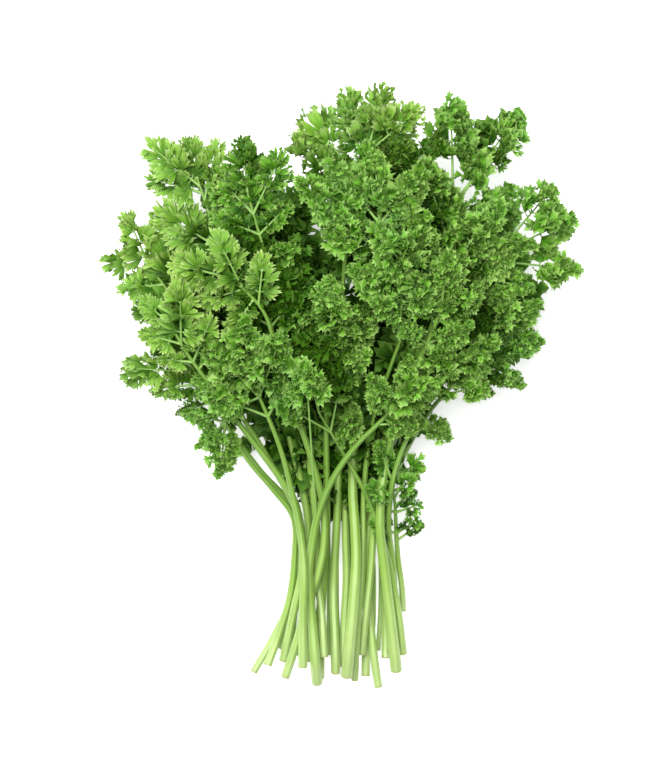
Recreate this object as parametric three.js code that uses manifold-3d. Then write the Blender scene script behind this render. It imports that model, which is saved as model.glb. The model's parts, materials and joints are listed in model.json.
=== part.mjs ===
// A bunch of curly parsley, cut and laid on its side, in millimetres with +Z up.
// Each frond is one solid: a tapering stem from its cut end, the rachis that it becomes in the head,
// and thin arched pinnae whose outline is cut to the rib into waved, toothed leaflets.
// The stems are drawn in plan, stacked by layer, and settled on one another; the leaflets then bend
// clear of whatever lies in their way.
import * as THREE from 'three';
import { mergeVertices } from 'three/addons/utils/BufferGeometryUtils.js';
import Module from 'manifold-3d';

const wasm = await Module();
wasm.setup();

// Driving dimensions, in millimetres.
const HEAD = { x: 0, y: 38, halfWidth: 112, halfLength: 100, rimLift: 12, rimShare: 0.3 };
const STACK = [[-128, 9], [-88, 14], [-52, 19], [-15, 34], [15, 52], [40, 60]]; // its thickness along Y
const STEM = { sides: 6, step: 3, taper: 0.5, thinnest: 0.5, gap: 1.4, lift: 5, flat: 0.45, onFloor: 0.05 };
const BLADE = { thickness: 0.9, halfRoot: 0.45, halfRib: 1.0, stalk: 5, longest: 29, longestHidden: 37 };
const BEND = { arch: 0.1, wave: 0.14, roll: 0.5, swing: 4 }; // shares of a blade, radians and millimetres
const PAIR_SPACING = [0, 9, 9, 19, 19, 30, 30, 40]; // how far below the tip each pinna leaves the rachis
const CLEAR = { gap: 0.35, slack: 0.6, cell: 4, sample: 1.5 };
const CENTRE = { x: 0, y: 0.3 }; // the middle of the drawing's box, which is moved to the origin
const TOP_LAYER = 9;
const FLAT_SIDE = Math.cos(Math.PI / STEM.sides); // how far a stem's flat side is from its centreline
const SETTLE_ROUNDS = 140;

// A blade's teeth in shares of its length: along the rib, out from it, and up (1) or down (-1). The
// leaflets lie between the rib's stations, one on either side, and the last one at its end.
const STATIONS = [0, 0.38, 0.7];
const FULL_TEETH = {
  leaflets: [[[0.02, 0.46, 1], [0.24, 0.42, 0], [0.36, 0.55, -1]], [[0.5, 0.46, -1], [0.8, 0.42, 1]]],
  end: [[0.88, 0.28, -1], [1, 0, 1], [0.88, -0.28, -1]],
};
const FEW_TEETH = {
  leaflets: [[[0.08, 0.5, 1], [0.36, 0.52, -1]], [[0.7, 0.46, 1]]],
  end: [[0.88, 0.26, -1], [1, 0, 1], [0.88, -0.26, -1]],
};

// Each frond: its layer in the stack from 0 at the bottom, as [cut end, middle, leaves], its stem's
// thickness at the cut end, its stem's route in plan from the cut end to the last fork, and the tips of
// its pinnae in plan, the end one first and then pair by pair down the rachis. A third number says how
// far below the tip that pinna leaves the rachis. Hidden fronds have fewer teeth.
const FRONDS = [
  { name: 'front_left', layers: [8.7, 8.8, 8.8], girth: 4.0,
    route: [[-15, -117], [-15, -97], [-14.5, -76], [-16, -61], [-19, -46], [-24, -26], [-31, -8],
      [-37, 5]],
    pinnae: [[-40, 32], [-58, 22], [-22, 27], [-58, 0], [-17, 10], [-47, -10, 8]] },
  { name: 'forked', layers: [8.0, 8.9, 8.8], girth: 4.8,
    route: [[-9, -124], [-10.5, -105], [-12, -88], [-12.5, -76], [-11, -65], [-8.5, -52], [-2, -37],
      [7, -24],
      [16, -15], [27, -4]],
    pinnae: [[30, 16], [12, 8], [44, 8], [38, -14, 14], [-14, 15, 62]] },
  { name: 'crossing', layers: [7.3, 7.9, 7.8], girth: 3.4,
    route: [[27.5, -112], [25.5, -95], [22, -76], [18, -62], [12, -45], [5, -32], [-2, -20], [-8, -10]],
    pinnae: [[-14, 12], [-27, -4], [2, 9], [8, -6]] },
  { name: 'left_hanging', layers: [7, 7.2, 7.2], girth: 3.6,
    route: [[-30, -117], [-25, -103], [-20.5, -88], [-18.6, -72], [-19, -54], [-27, -43], [-38, -30],
      [-47, -15],
      [-52, -6]],
    pinnae: [[-61, 8], [-67, -8], [-50, -38, 8], [-60, -26, 8]] },
  { name: 'left_low', layers: [5.4, 5.4, 5.6], girth: 3.2, droop: 5,
    route: [[-36, -120], [-29, -108], [-22, -94], [-17.5, -82], [-17, -66], [-19.5, -50], [-33, -34],
      [-46, -16],
      [-56, 0], [-62, 10]],
    pinnae: [[-80, 18], [-90, 9, 4, 0.6], [-80, 0], [-70, -10, 18], [-48, 12, 18]] },
  { name: 'left_bright', layers: [7.8, 7.6, 8], girth: 3.8,
    route: [[-23.3, -115], [-21, -104], [-18, -90], [-15.5, -78], [-15.5, -62], [-18, -48],
      [-27, -34], [-42, -14],
      [-56, 5], [-64, 16], [-70, 27]],
    pinnae: [[-84, 39], [-84, 24], [-66, 48], [-77, 13], [-52, 32]] },
  { name: 'left_broad', layers: [8.5, 7.8, 8.4], girth: 3.8,
    route: [[-22.5, -122], [-18, -108], [-14, -94], [-9, -80], [-6, -64], [-7, -46], [-13, -24],
      [-20, -4],
      [-26, 16], [-31, 32], [-40, 42], [-47, 47]],
    pinnae: [[-72, 53], [-52, 66], [-60, 36], [-31, 58], [-46, 22, 16]] },
  { name: 'left_far', layers: [6.2, 5.8, 6.4], girth: 3.4,
    route: [[-24, -110], [-19, -92], [-16, -72], [-17, -54], [-28, -32], [-44, -6], [-60, 22],
      [-72, 42], [-79, 51]],
    pinnae: [[-90, 76], [-101, 57, 3], [-94, 42], [-74, 76], [-88, 31], [-60, 56]] },
  { name: 'upper_left', layers: [7.0, 4.4, 7.2], girth: 3.6,
    route: [[-12, -115], [-13, -95], [-13, -75], [-13, -55], [-18, -30], [-28, 0], [-40, 30],
      [-49, 56], [-55, 76],
      [-59, 88]],
    pinnae: [[-64, 107], [-80, 103, 3], [-50, 106], [-82, 90, 6], [-38, 90], [-78, 76]] },
  { name: 'upper_left_inner', layers: [7.8, 4.6, 8], girth: 3.4,
    route: [[-6, -113], [-7, -95], [-9, -78], [-9, -60], [-13, -25], [-19, 10], [-27, 45], [-34, 68],
      [-38, 82]],
    pinnae: [[-40, 107], [-22, 102], [-56, 94], [-18, 80], [-56, 74], [-16, 60]] },
  { name: 'top_centre', layers: [6.6, 3, 6.8], girth: 4.0,
    route: [[-1.1, -120], [-1.5, -105], [-2, -88], [-1.5, -72], [-0.6, -55], [0, -38], [0, 0],
      [2, 45], [6, 78],
      [12, 99]],
    pinnae: [[20, 129], [3, 127, 3], [36, 119, 0], [-13, 116, 12], [34, 102, 9], [-22, 108, 18]] },
  { name: 'top_right_inner', layers: [5.2, 3, 6], girth: 3.6,
    route: [[2, -117], [2.5, -100], [3.5, -80], [3, -60], [3, -40], [8, 0], [15, 40], [20, 70], [24, 88]],
    pinnae: [[26, 112], [40, 106], [8, 104], [46, 92], [2, 84], [42, 76]] },
  { name: 'upper_centre', layers: [8.7, 4, 8.8], girth: 5.2,
    route: [[3.6, -121], [5, -105], [6.5, -88], [7.5, -72], [7, -58], [6, -42], [7, -18], [10, 12],
      [15, 45],
      [17, 66], [17, 78]],
    pinnae: [[14, 102], [-6, 98], [38, 94], [-20, 88, 12], [-12, 70], [40, 76]] },
  { name: 'centre', layers: [9.0, 4.8, 9.0], girth: 3.2,
    route: [[7, -123], [7.5, -110], [8.5, -95], [10, -78], [10.5, -60], [11, -40], [14, -16],
      [22, 10], [30, 32],
      [33, 46]],
    pinnae: [[12, 68], [40, 68], [2, 54], [54, 58], [12, 38]] },
  { name: 'top_right', layers: [7.0, 3.8, 6.8], girth: 3.8,
    route: [[11.6, -121.5], [11.8, -105], [12, -88], [11.5, -72], [11, -61], [13, -44], [20, -20],
      [30, 10],
      [40, 45], [46, 68], [48, 82]],
    pinnae: [[47, 126, 0, 0.6], [78, 119, 6, 0.8], [64, 100, 9, 0.8], [34, 98, 18, 0.8], [68, 82]] },
  { name: 'right', layers: [7.4, 4.8, 7.4], girth: 3.6,
    route: [[17, -126.2], [15, -112], [13.5, -97], [12.5, -80], [12.5, -62], [16, -45], [24, -20],
      [36, 8],
      [50, 36], [60, 52], [69, 60]],
    pinnae: [[92, 87], [100, 73], [102, 50], [74, 88], [84, 42], [62, 74, 26]] },
  { name: 'right_inner', layers: [8.2, 5, 8.2], girth: 3.4,
    route: [[10, -112], [12, -92], [14, -74], [15, -58], [20, -32], [30, 2], [40, 30], [48, 50],
      [52, 58]],
    pinnae: [[70, 80], [50, 82], [76, 60], [64, 44], [36, 54, 16]] },
  { name: 'centre_right', layers: [8.8, 5.6, 8.8], girth: 5.0,
    route: [[24.6, -119], [23, -105], [21, -88], [19, -72], [17.5, -58], [18.5, -40], [24, -14],
      [32, 8], [40, 26],
      [43, 36]],
    pinnae: [[46, 60], [28, 50], [62, 46], [24, 28], [58, 28]] },
  { name: 'right_low', layers: [5.4, 5, 5.8], girth: 3.4, droop: 5,
    route: [[20, -114], [20, -95], [19, -76], [18, -60], [24, -36], [38, -10], [54, 8], [66, 20],
      [71, 26]],
    pinnae: [[86, 38], [88, 20], [68, 46], [80, 2], [50, 38], [66, -2]] },
  { name: 'right_front', layers: [7.6, 6.6, 7.8], girth: 3.6,
    route: [[22, -111], [23.5, -92], [23, -74], [21, -57], [24, -34], [31, -16], [38, -5], [45, 4]],
    pinnae: [[68, 24], [64, 2], [44, 22], [48, -22], [24, -6]] },
  { name: 'right_neck', layers: [5, 5, 6], girth: 2.8,
    route: [[27.5, -94], [27, -84], [25.5, -73], [24.5, -61], [24, -49], [22, -37]],
    pinnae: [[16, -20], [34, -27], [36, -56, 26], [34, -42, 12]] },
  { name: 'middle', layers: [7.6, 5.6, 7.6], girth: 4.4,
    route: [[-8, -122], [-8, -105], [-7, -88], [-6, -72], [-5, -56], [-5, -36], [-5, -8], [-4, 8],
      [-3, 20]],
    pinnae: [[-3, 50], [-22, 42], [15, 40], [-22, 20], [15, 18]] },
  { name: 'middle_left', layers: [6.4, 4.8, 7], girth: 3.4,
    route: [[-14, -112], [-12, -94], [-10, -76], [-10, -60], [-14, -32], [-21, 0], [-28, 26], [-32, 44]],
    pinnae: [[-36, 72], [-14, 66], [-50, 58], [-10, 48], [-50, 38]] },
  { name: 'inner_front', layers: [2.4, 2.2, 2.6], girth: 3.2,
    route: [[0, -113], [-1, -95], [-1, -75], [-1, -58], [-1, -44], [-1, -30]],
    pinnae: [[0, -4], [-22, -10], [22, -10], [-24, -32], [23, -32]] },
  { name: 'under_left', layers: [1.2, 1.2, 1.2], girth: 3.6, droop: 12, hidden: true,
    route: [[-20, -111], [-18, -92], [-16, -72], [-16, -54], [-28, -26], [-46, 5], [-58, 28], [-64, 42]],
    pinnae: [[-76, 66], [-90, 50], [-54, 66], [-84, 26], [-40, 42], [-74, 4]] },
  { name: 'under_upper_left', layers: [0.4, 0.4, 0.4], girth: 3.6, droop: 12, hidden: true,
    route: [[-8, -112], [-8, -92], [-8, -72], [-9, -54], [-13, -22], [-20, 20], [-26, 50], [-30, 64]],
    pinnae: [[-36, 94], [-58, 84], [-12, 88], [-52, 56], [-6, 62], [-44, 30]] },
  { name: 'under_upper_right', layers: [0.6, 0.6, 0.6], girth: 3.8, droop: 12, hidden: true,
    route: [[6, -114], [6, -94], [5, -74], [5, -54], [9, -20], [14, 20], [18, 50], [21, 66]],
    pinnae: [[24, 98], [4, 92], [46, 90], [-2, 66], [48, 64], [38, 36]] },
  { name: 'under_right', layers: [1.2, 1.2, 1.2], girth: 3.6, droop: 12, hidden: true,
    route: [[17, -111], [18, -92], [18, -72], [17, -54], [26, -24], [42, 6], [56, 28], [64, 40]],
    pinnae: [[78, 64], [90, 42], [62, 68], [82, 16], [44, 50], [66, 0]] },
  { name: 'under_front', layers: [0.2, 0.2, 0.2], girth: 3.4, droop: 12, hidden: true,
    route: [[-4, -113], [-4, -95], [-4, -75], [-4, -55], [-3, -35], [-1, -15], [0, 0]],
    pinnae: [[2, 30], [-24, 22], [26, 20], [-30, -8], [30, -8]] },
  { name: 'inner_left', layers: [3.4, 3.4, 3.6], girth: 3.4, droop: 4, hidden: true,
    route: [[-17, -113], [-15, -94], [-13, -75], [-13, -56], [-22, -28], [-36, 4], [-46, 30], [-51, 46]],
    pinnae: [[-58, 76], [-78, 58], [-34, 68], [-74, 34], [-30, 40], [-64, 10]] },
  { name: 'inner_right', layers: [3.4, 3.4, 3.6], girth: 3.6, droop: 4, hidden: true,
    route: [[14, -114], [15, -95], [15, -76], [14, -57], [22, -30], [36, 0], [47, 26], [53, 42]],
    pinnae: [[60, 74], [36, 70], [80, 56], [30, 40], [78, 28], [62, 0]] },
];

// Numbers from -1 to 1 that come out the same for the same seed.
function draws(seed) {
  let state = seed;
  return () => {
    state = (1664525 * state + 1013904223) % 4294967296;
    return (2 * state) / 4294967296 - 1;
  };
}

// A piecewise straight line through [x, y] points.
function between(points, x) {
  const i = points.findIndex(([px]) => px > x);
  if (i === 0) return points[0][1];
  if (i < 0) return points.at(-1)[1];
  const [[x0, y0], [x1, y1]] = [points[i - 1], points[i]];
  return y0 + ((x - x0) / (x1 - x0)) * (y1 - y0);
}

// How full the head is at a place in plan, from 1 at its middle to HEAD.rimShare at its rim.
function dome(x, y) {
  const across = (x - HEAD.x) / HEAD.halfWidth;
  const along = Math.max(0, y - HEAD.y) / HEAD.halfLength;
  return Math.sqrt(Math.max(HEAD.rimShare ** 2, 1 - across * across - along * along));
}

// The height at which a layer lies at a place in plan.
function layerHeight(x, y, layer) {
  const full = dome(x, y);
  return 0.6 + STEM.lift * THREE.MathUtils.smoothstep(y, -95, -40) + HEAD.rimLift * (1 - full)
    + (layer / TOP_LAYER) * between(STACK, y) * full;
}

// The outward normal of the head's surface at a place in plan.
function domeNormal(x, y) {
  const step = 2;
  const slopeX = (layerHeight(x + step, y, TOP_LAYER) - layerHeight(x - step, y, TOP_LAYER)) / (2 * step);
  const slopeY = (layerHeight(x, y + step, TOP_LAYER) - layerHeight(x, y - step, TOP_LAYER)) / (2 * step);
  return new THREE.Vector3(-slopeX, -slopeY, 1).normalize();
}

// A stem's centreline: points about STEM.step apart, each with its radius and layer, at its height.
function layOut(frond, order) {
  const plan = new THREE.CatmullRomCurve3(frond.route.map(([x, y]) => new THREE.Vector3(x, y, 0)));
  const count = Math.round(plan.getLength() / STEM.step);
  const [atCut, atMiddle, atLeaves] = frond.layers;
  const points = plan.getSpacedPoints(count);
  points.forEach((p, i) => {
    p.layer = between([[0.2, atCut], [0.45, atMiddle], [0.65, atMiddle], [0.95, atLeaves]], i / count);
    p.z = layerHeight(p.x, p.y, p.layer);
    p.radius = (frond.girth / 2) * Math.max(1 - STEM.taper * (i / count), STEM.thinnest);
  });
  return { ...frond, order, points, top: atLeaves };
}

// The places where two stems lie near each other in plan, and how far apart they must be there. One of
// the two lies over the other all along: the one in the higher layers.
function crossings(a, b) {
  const near = [];
  let rank = 0;
  for (const p of a.points) {
    for (const q of b.points) {
      const reach = p.radius + q.radius + STEM.gap;
      const plan2 = (p.x - q.x) ** 2 + (p.y - q.y) ** 2;
      if (plan2 >= reach * reach) continue;
      near.push([p, q, Math.sqrt(reach * reach - plan2)]);
      rank += q.layer - p.layer;
    }
  }
  return rank >= 0 ? near : near.map(([p, q, rise]) => [q, p, rise]);
}

// Pushes stems apart in height until they lie on one another. Their places in plan stay.
function settle(stems) {
  const meetings = stems.flatMap((a, i) => stems.slice(i + 1).flatMap((b) => crossings(a, b)));
  for (let round = 0; round < SETTLE_ROUNDS; round++) {
    for (const [under, over, rise] of meetings) {
      const push = Math.max(0, rise - (over.z - under.z)) / 4;
      under.z -= push;
      over.z += push;
    }
    const ease = round < SETTLE_ROUNDS * 0.8 ? 0.25 : 0.04;
    for (const { points } of stems) {
      const before = points.map((p) => p.z);
      for (let i = 1; i < points.length - 1; i++) {
        points[i].z += ease * (before[i - 1] - 2 * before[i] + before[i + 1]);
      }
      for (const p of points) p.z = Math.max(p.z, p.radius * FLAT_SIDE);
    }
  }
}

// The points that a line needs to stay within a distance of all of them.
function fewest(points, away) {
  const [first, last] = [points[0], points.at(-1)];
  const chord = new THREE.Line3(first, last);
  const off = points.map((p) => chord.closestPointToPoint(p, true, new THREE.Vector3()).distanceTo(p));
  const worst = off.indexOf(Math.max(...off));
  if (points.length < 3 || off[worst] < away) return [first, last];
  return [...fewest(points.slice(0, worst + 1), away), ...fewest(points.slice(worst), away).slice(1)];
}

// The solid inside closed faces.
function toSolid(positions, faces) {
  return new wasm.Manifold(new wasm.Mesh({
    numProp: 3,
    vertProperties: new Float32Array(positions),
    triVerts: new Uint32Array(faces),
  }));
}

// A stem: a capped cylinder whose rings are moved onto the centreline, with a flat side down.
function stemSolid(points) {
  const lift = points.findIndex((p) => p.z > p.radius * FLAT_SIDE + 0.01);
  const runs = lift > 2 ? [points.slice(0, lift), points.slice(lift)] : [points];
  const line = runs.flatMap((run) => fewest(run, STEM.flat));
  const last = line.length - 1;
  const cylinder = new THREE.CylinderGeometry(1, 1, last, STEM.sides, last);
  cylinder.rotateY(Math.PI / STEM.sides);
  cylinder.deleteAttribute('normal');
  cylinder.deleteAttribute('uv');
  const merged = mergeVertices(cylinder, 1e-4);
  const position = merged.attributes.position;
  const up = new THREE.Vector3(0, 0, 1);
  for (let v = 0; v < position.count; v++) {
    const at = Math.round(position.getY(v) + last / 2);
    const here = line[at];
    const along = new THREE.Vector3().subVectors(line[Math.min(at + 1, last)], line[Math.max(at - 1, 0)]);
    const side = new THREE.Vector3().crossVectors(along, up).normalize();
    const rise = new THREE.Vector3().crossVectors(side, along).normalize();
    const p = new THREE.Vector3().copy(here).addScaledVector(side, position.getX(v) * here.radius)
      .addScaledVector(rise, position.getZ(v) * here.radius);
    position.setXYZ(v, p.x, p.y, p.z < STEM.onFloor ? 0 : p.z);
  }
  return toSolid(position.array, merged.index.array);
}

// A thin solid: a sheet of triangles between two copies of it, with walls round its edges.
function sheetSolid({ points, triangles, normal }, thickness) {
  const half = normal.clone().multiplyScalar(thickness / 2);
  const count = points.length;
  const sides = [points.map((p) => p.clone().sub(half)), points.map((p) => p.clone().add(half))];
  for (const pair of points.map((_, i) => [sides[0][i], sides[1][i]])) {
    const sunk = Math.min(0, pair[0].z, pair[1].z);
    for (const p of pair) p.z -= sunk;
  }
  const edges = triangles.flatMap(([a, b, c]) => [[a, b], [b, c], [c, a]]);
  const known = new Set(edges.map((edge) => edge.join()));
  const walls = edges.filter(([a, b]) => !known.has(`${b},${a}`));
  const faces = [
    ...triangles.flatMap(([a, b, c]) => [a + count, b + count, c + count, c, b, a]),
    ...walls.flatMap(([a, b]) => [a, b, b + count, a, b + count, a + count]),
  ];
  return toSolid(sides.flat().flatMap((p) => [p.x, p.y, p.z]), faces);
}

// What is already in place, as small balls in a grid of cells, so that a new piece can tell whether it
// would touch a piece of another owner.
class Occupied {
  cells = new Map();

  key(x, y, z) {
    const [i, j, k] = [x, y, z].map((v) => Math.floor(v / CLEAR.cell) + 512);
    return (i * 1024 + j) * 1024 + k;
  }

  add(point, radius, owner) {
    const key = this.key(point.x, point.y, point.z);
    if (!this.cells.has(key)) this.cells.set(key, []);
    this.cells.get(key).push({ point, radius, owner });
  }

  // How many of the points come too near a ball. Its own stem doesn't count near its root.
  hits(points, { stem, root }) {
    const excused = (p) => (p.distanceTo(root) < BLADE.stalk / 2 ? stem.name : null);
    return points.filter((p) => this.touches(p, excused(p))).length;
  }

  touches(p, mine) {
    const reach = BLADE.thickness / 2 + CLEAR.gap + CLEAR.slack;
    const steps = [-1, 0, 1];
    return steps.some((i) => steps.some((j) => steps.some((k) => {
      const key = this.key(p.x + i * CLEAR.cell, p.y + j * CLEAR.cell, p.z + k * CLEAR.cell);
      return (this.cells.get(key) ?? []).some((ball) => ball.owner !== mine
        && ball.point.distanceToSquared(p) < (ball.radius + reach) ** 2);
    })));
  }
}

// Points spread evenly over triangles.
function spread(points, triangles) {
  return triangles.flatMap(([a, b, c]) => {
    const [p, ab, ac] = [points[a], points[b].clone().sub(points[a]), points[c].clone().sub(points[a])];
    const n = Math.max(1, Math.ceil(Math.max(ab.length(), ac.length()) / CLEAR.sample));
    const found = [];
    for (let i = 0; i <= n; i++) {
      const row = p.clone().addScaledVector(ab, i / n);
      for (let j = 0; j <= n - i; j++) found.push(row.clone().addScaledVector(ac, j / n));
    }
    return found;
  });
}

// A pinna's own axes: from its root on the rachis to its tip, rolled about that line.
function pinnaFrame(stem, index, attempt) {
  const [x, y, back = PAIR_SPACING[index], breadth = 1] = stem.pinnae[index];
  const draw = draws(7919 * (stem.order + 1) + 104729 * (index + 1) + 15485863 * attempt);
  draw();
  const root = stem.points[Math.max(0, stem.points.length - 1 - Math.round(back / STEM.step))];
  const settled = root.z - layerHeight(root.x, root.y, root.layer);
  const z = layerHeight(x, y, stem.top) + settled - (stem.droop ?? 0) + BEND.swing * draw();
  const tip = new THREE.Vector3(x, y, Math.max(z, 2));
  const along = new THREE.Vector3().subVectors(tip, root);
  const length = along.length();
  along.normalize();
  const out = domeNormal(x, y);
  const side = new THREE.Vector3().crossVectors(out, along).normalize();
  const normal = new THREE.Vector3().crossVectors(along, side);
  const turn = BEND.roll * draw();
  side.applyAxisAngle(along, turn);
  normal.applyAxisAngle(along, turn);
  return { stem, root, along, side, normal, length, breadth, draw };
}

// What a pinna's tip, and then each of its leaflets, tries in turn until it lies clear: a lift, in
// millimetres, and for a leaflet a share of its size.
const TIP_LIFTS = [0, 4, -4, 8, -8, 12, -12];
const LEAFLET_FITS = [[0, 1], [3, 1], [-3, 1], [6, 0.95], [-6, 0.95], [0, 0.7], [5, 0.7], [-5, 0.7],
  [0, 0.45], [4, 0.45], [-4, 0.45]];

// A pinna as a waved sheet of triangles: its rib, and leaflets that each bend or shrink clear of what
// is there.
function pinnaSheet(stem, index, attempt, occupied) {
  const frame = pinnaFrame(stem, index, attempt);
  const longest = stem.hidden ? BLADE.longestHidden : BLADE.longest;
  const blade = Math.min(frame.length - BLADE.stalk, longest);
  const stalk = frame.length - blade;
  const place = (along, side, lift, tipLift) => {
    const share = THREE.MathUtils.clamp(along / frame.length, 0, 1);
    const rise = 4 * BEND.arch * blade * share * (1 - share) + tipLift * share * share;
    const p = new THREE.Vector3().copy(frame.root).addScaledVector(frame.along, along)
      .addScaledVector(frame.side, side).addScaledVector(frame.normal, lift);
    return p.setZ(p.z + rise);
  };
  const rib = [0, ...STATIONS.map((s) => stalk + s * blade)];
  const ribPoints = (lift) => rib.flatMap((along) => {
    const half = along > 0 ? BLADE.halfRib * (1 - 0.35 * (along / frame.length)) : BLADE.halfRoot;
    return [place(along, half, 0, lift), place(along, -half, 0, lift)];
  });
  const ribTriangles = rib.slice(1).flatMap((_, i) => (
    [[2 * i, 2 * i + 1, 2 * i + 3], [2 * i, 2 * i + 3, 2 * i + 2]]));
  const tries = TIP_LIFTS.map((lift) => {
    const points = ribPoints(lift);
    const sampled = spread(points, ribTriangles).filter((p) => p.distanceTo(frame.root) > 5);
    return { lift, points, hits: occupied.hits(sampled, frame) };
  });
  const { lift: tipLift, points } = tries.reduce((best, other) => (other.hits < best.hits ? other : best));
  const triangles = [...ribTriangles];
  const addLeaflet = (ends, teeth, waved, sideways) => {
    const hub = new THREE.Vector3().addVectors(points[ends[0]], points[ends[1]]).multiplyScalar(0.5);
    const varied = teeth.map(([along, side, sign]) => [
      along + 0.03 * frame.draw(),
      (side + 0.04 * frame.draw()) * frame.breadth,
      sign * waved * BEND.wave * (0.75 + 0.25 * frame.draw()),
    ]);
    const fitted = LEAFLET_FITS.map(([lift, size]) => varied.map(([along, side, rise]) => (
      place(stalk + along * blade, sideways * side * blade, rise * blade + lift, tipLift).sub(hub)
        .multiplyScalar(size).add(hub))));
    const fan = teeth.map((_, k) => [0, k + 1, k + 2]);
    const tips = fitted.find((option) => {
      const sampled = spread([points[ends[0]], ...option, points[ends[1]]], fan);
      return !occupied.hits(sampled.filter((p) => p.distanceTo(hub) > 2.5), frame);
    });
    if (!tips) return;
    const ring = [ends[0], ...tips.map((_, k) => points.length + k), ends[1]];
    points.push(...tips);
    for (const corners of fan) {
      const face = corners.map((k) => ring[k]);
      triangles.push(sideways > 0 ? face.reverse() : face);
    }
  };
  const { leaflets, end } = stem.hidden ? FEW_TEETH : FULL_TEETH;
  leaflets.forEach((teeth, i) => {
    const [from, to] = [2 * i + 2, 2 * i + 4];
    addLeaflet([from, to], teeth, 1, 1);
    addLeaflet([from + 1, to + 1], teeth, -1, -1);
  });
  const tip = 2 * rib.length - 2;
  addLeaflet([tip, tip + 1], end, 1, 1);
  return { points, triangles, normal: frame.normal };
}

function meshOf(solid, stem) {
  const { vertProperties, triVerts } = solid.getMesh();
  const geometry = new THREE.BufferGeometry()
    .setAttribute('position', new THREE.BufferAttribute(new Float32Array(vertProperties), 3))
    .setIndex(new THREE.BufferAttribute(new Uint32Array(triVerts), 1))
    .translate(-CENTRE.x, -CENTRE.y, 0);
  const finish = new THREE.MeshStandardMaterial({ color: 0x4f8a2c, roughness: 0.55, metalness: 0 });
  const mesh = new THREE.Mesh(geometry, finish);
  mesh.name = `${stem.name}_frond`;
  return mesh;
}

const ATTEMPTS = 8;
const stems = FRONDS.map(layOut);
settle(stems);
const occupied = new Occupied();
for (const { name, points } of stems) {
  points.slice(1).forEach((p, i) => {
    occupied.add(p, p.radius, name);
    occupied.add(p.clone().lerp(points[i], 0.5), p.radius, name);
  });
}
const solids = stems.map(({ points }) => stemSolid(points));
[...stems].sort((a, b) => b.top - a.top).forEach((stem) => stem.pinnae.forEach((_, index) => {
  const { order } = stem;
  for (let attempt = 0; attempt < ATTEMPTS; attempt++) {
    const sheet = pinnaSheet(stem, index, attempt, occupied);
    const roomy = sheetSolid(sheet, BLADE.thickness + 2 * CLEAR.gap);
    const clear = solids.every((other, i) => i === order || roomy.intersect(other).isEmpty());
    if (!clear) continue;
    solids[order] = solids[order].add(sheetSolid(sheet, BLADE.thickness));
    for (const p of spread(sheet.points, sheet.triangles)) {
      occupied.add(p, BLADE.thickness / 2, `${stem.name} ${index}`);
    }
    return;
  }
}));
const bunch = new THREE.Group();
stems.forEach((stem, order) => bunch.add(meshOf(solids[order], stem)));

export default bunch;
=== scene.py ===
"""The look of a bunch of curly parsley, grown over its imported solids.

Each frond is rebuilt where its solid lies: a ribbed stem with a cut end, the rachis and ribs that
it forks into, and crisped leaflets that are modelled once for each habit and copied along the ribs.
Plans are in millimetres, as the solids are drawn, and everything that is built is in metres.
"""

from __future__ import annotations

import json
import logging
import math
from collections.abc import Iterator
from dataclasses import dataclass, field, replace
from enum import Enum

import bpy
import numpy as np
from mathutils.bvhtree import BVHTree
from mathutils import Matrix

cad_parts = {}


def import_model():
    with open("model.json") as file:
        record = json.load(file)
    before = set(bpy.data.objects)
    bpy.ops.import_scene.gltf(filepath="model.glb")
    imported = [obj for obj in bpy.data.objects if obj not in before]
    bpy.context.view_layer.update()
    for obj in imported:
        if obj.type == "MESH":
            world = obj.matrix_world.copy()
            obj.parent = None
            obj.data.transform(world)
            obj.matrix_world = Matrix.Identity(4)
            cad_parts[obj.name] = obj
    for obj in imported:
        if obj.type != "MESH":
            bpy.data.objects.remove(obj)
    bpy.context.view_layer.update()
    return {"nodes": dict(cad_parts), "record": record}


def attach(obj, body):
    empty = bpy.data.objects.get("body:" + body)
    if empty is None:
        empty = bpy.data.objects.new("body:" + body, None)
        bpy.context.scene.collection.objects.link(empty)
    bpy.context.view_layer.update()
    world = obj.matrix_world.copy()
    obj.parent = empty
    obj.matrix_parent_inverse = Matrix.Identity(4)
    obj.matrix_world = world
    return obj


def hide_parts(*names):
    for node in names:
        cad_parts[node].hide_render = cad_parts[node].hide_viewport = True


LOG = logging.getLogger("parsley")
MM = 0.001  # metres in a millimetre
TINY = 1e-12  # a length that counts as none
UPWARDS = np.array([0.0, 0.0, 1.0])

# The heap: how high the layers of fronds lie, as in the solids.
HEAD_X = 0.0
HEAD_Y = 38.0
HEAD_HALF_WIDTH = 112.0
HEAD_HALF_LENGTH = 100.0
RIM_LIFT = 12.0
RIM_SHARE = 0.3
STACK_Y = (-128.0, -88.0, -52.0, -15.0, 15.0, 40.0)
STACK_HEIGHT = (9.0, 14.0, 19.0, 34.0, 52.0, 60.0)
STEM_LIFT = 5.0
LIFT_FROM_Y = -95.0
LIFT_TO_Y = -40.0
FLOOR_GAP = 0.6
TOP_LAYER = 9.0
CENTRE_Y = 0.3
SLOPE_STEP = 2.0

# The stems.
STEM_STEP = 3.0
STEM_TAPER = 0.5
STEM_GAP = 1.4
FLAT_SIDE = math.cos(math.pi / 6)
SETTLE_ROUNDS = 140
FIRM_ROUNDS = 112
PUSH_SHARE = 0.25
SOFT_EASE = 0.25
FIRM_EASE = 0.04
LAYER_SHARES = (0.2, 0.45, 0.65, 0.95)

# The pinnae.
PAIR_SPACING = (0, 9, 9, 19, 19, 30, 30, 40)
BLADE_STALK = 5.0
BLADE_LONGEST = 29.0
BLADE_LONGEST_HIDDEN = 37.0
BEND_ARCH = 0.1
BEND_ROLL = 0.5
BEND_SWING = 4.0
TIP_LIFTS = (0, 4, -4, 8, -8, 12, -12)
ATTEMPTS = 8
LOWEST_TIP = 2.0
RIB_STATIONS = (0.0, 0.38, 0.7)
HALF_THICKNESS = 0.45
FOUND_WITHIN = 0.35

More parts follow.
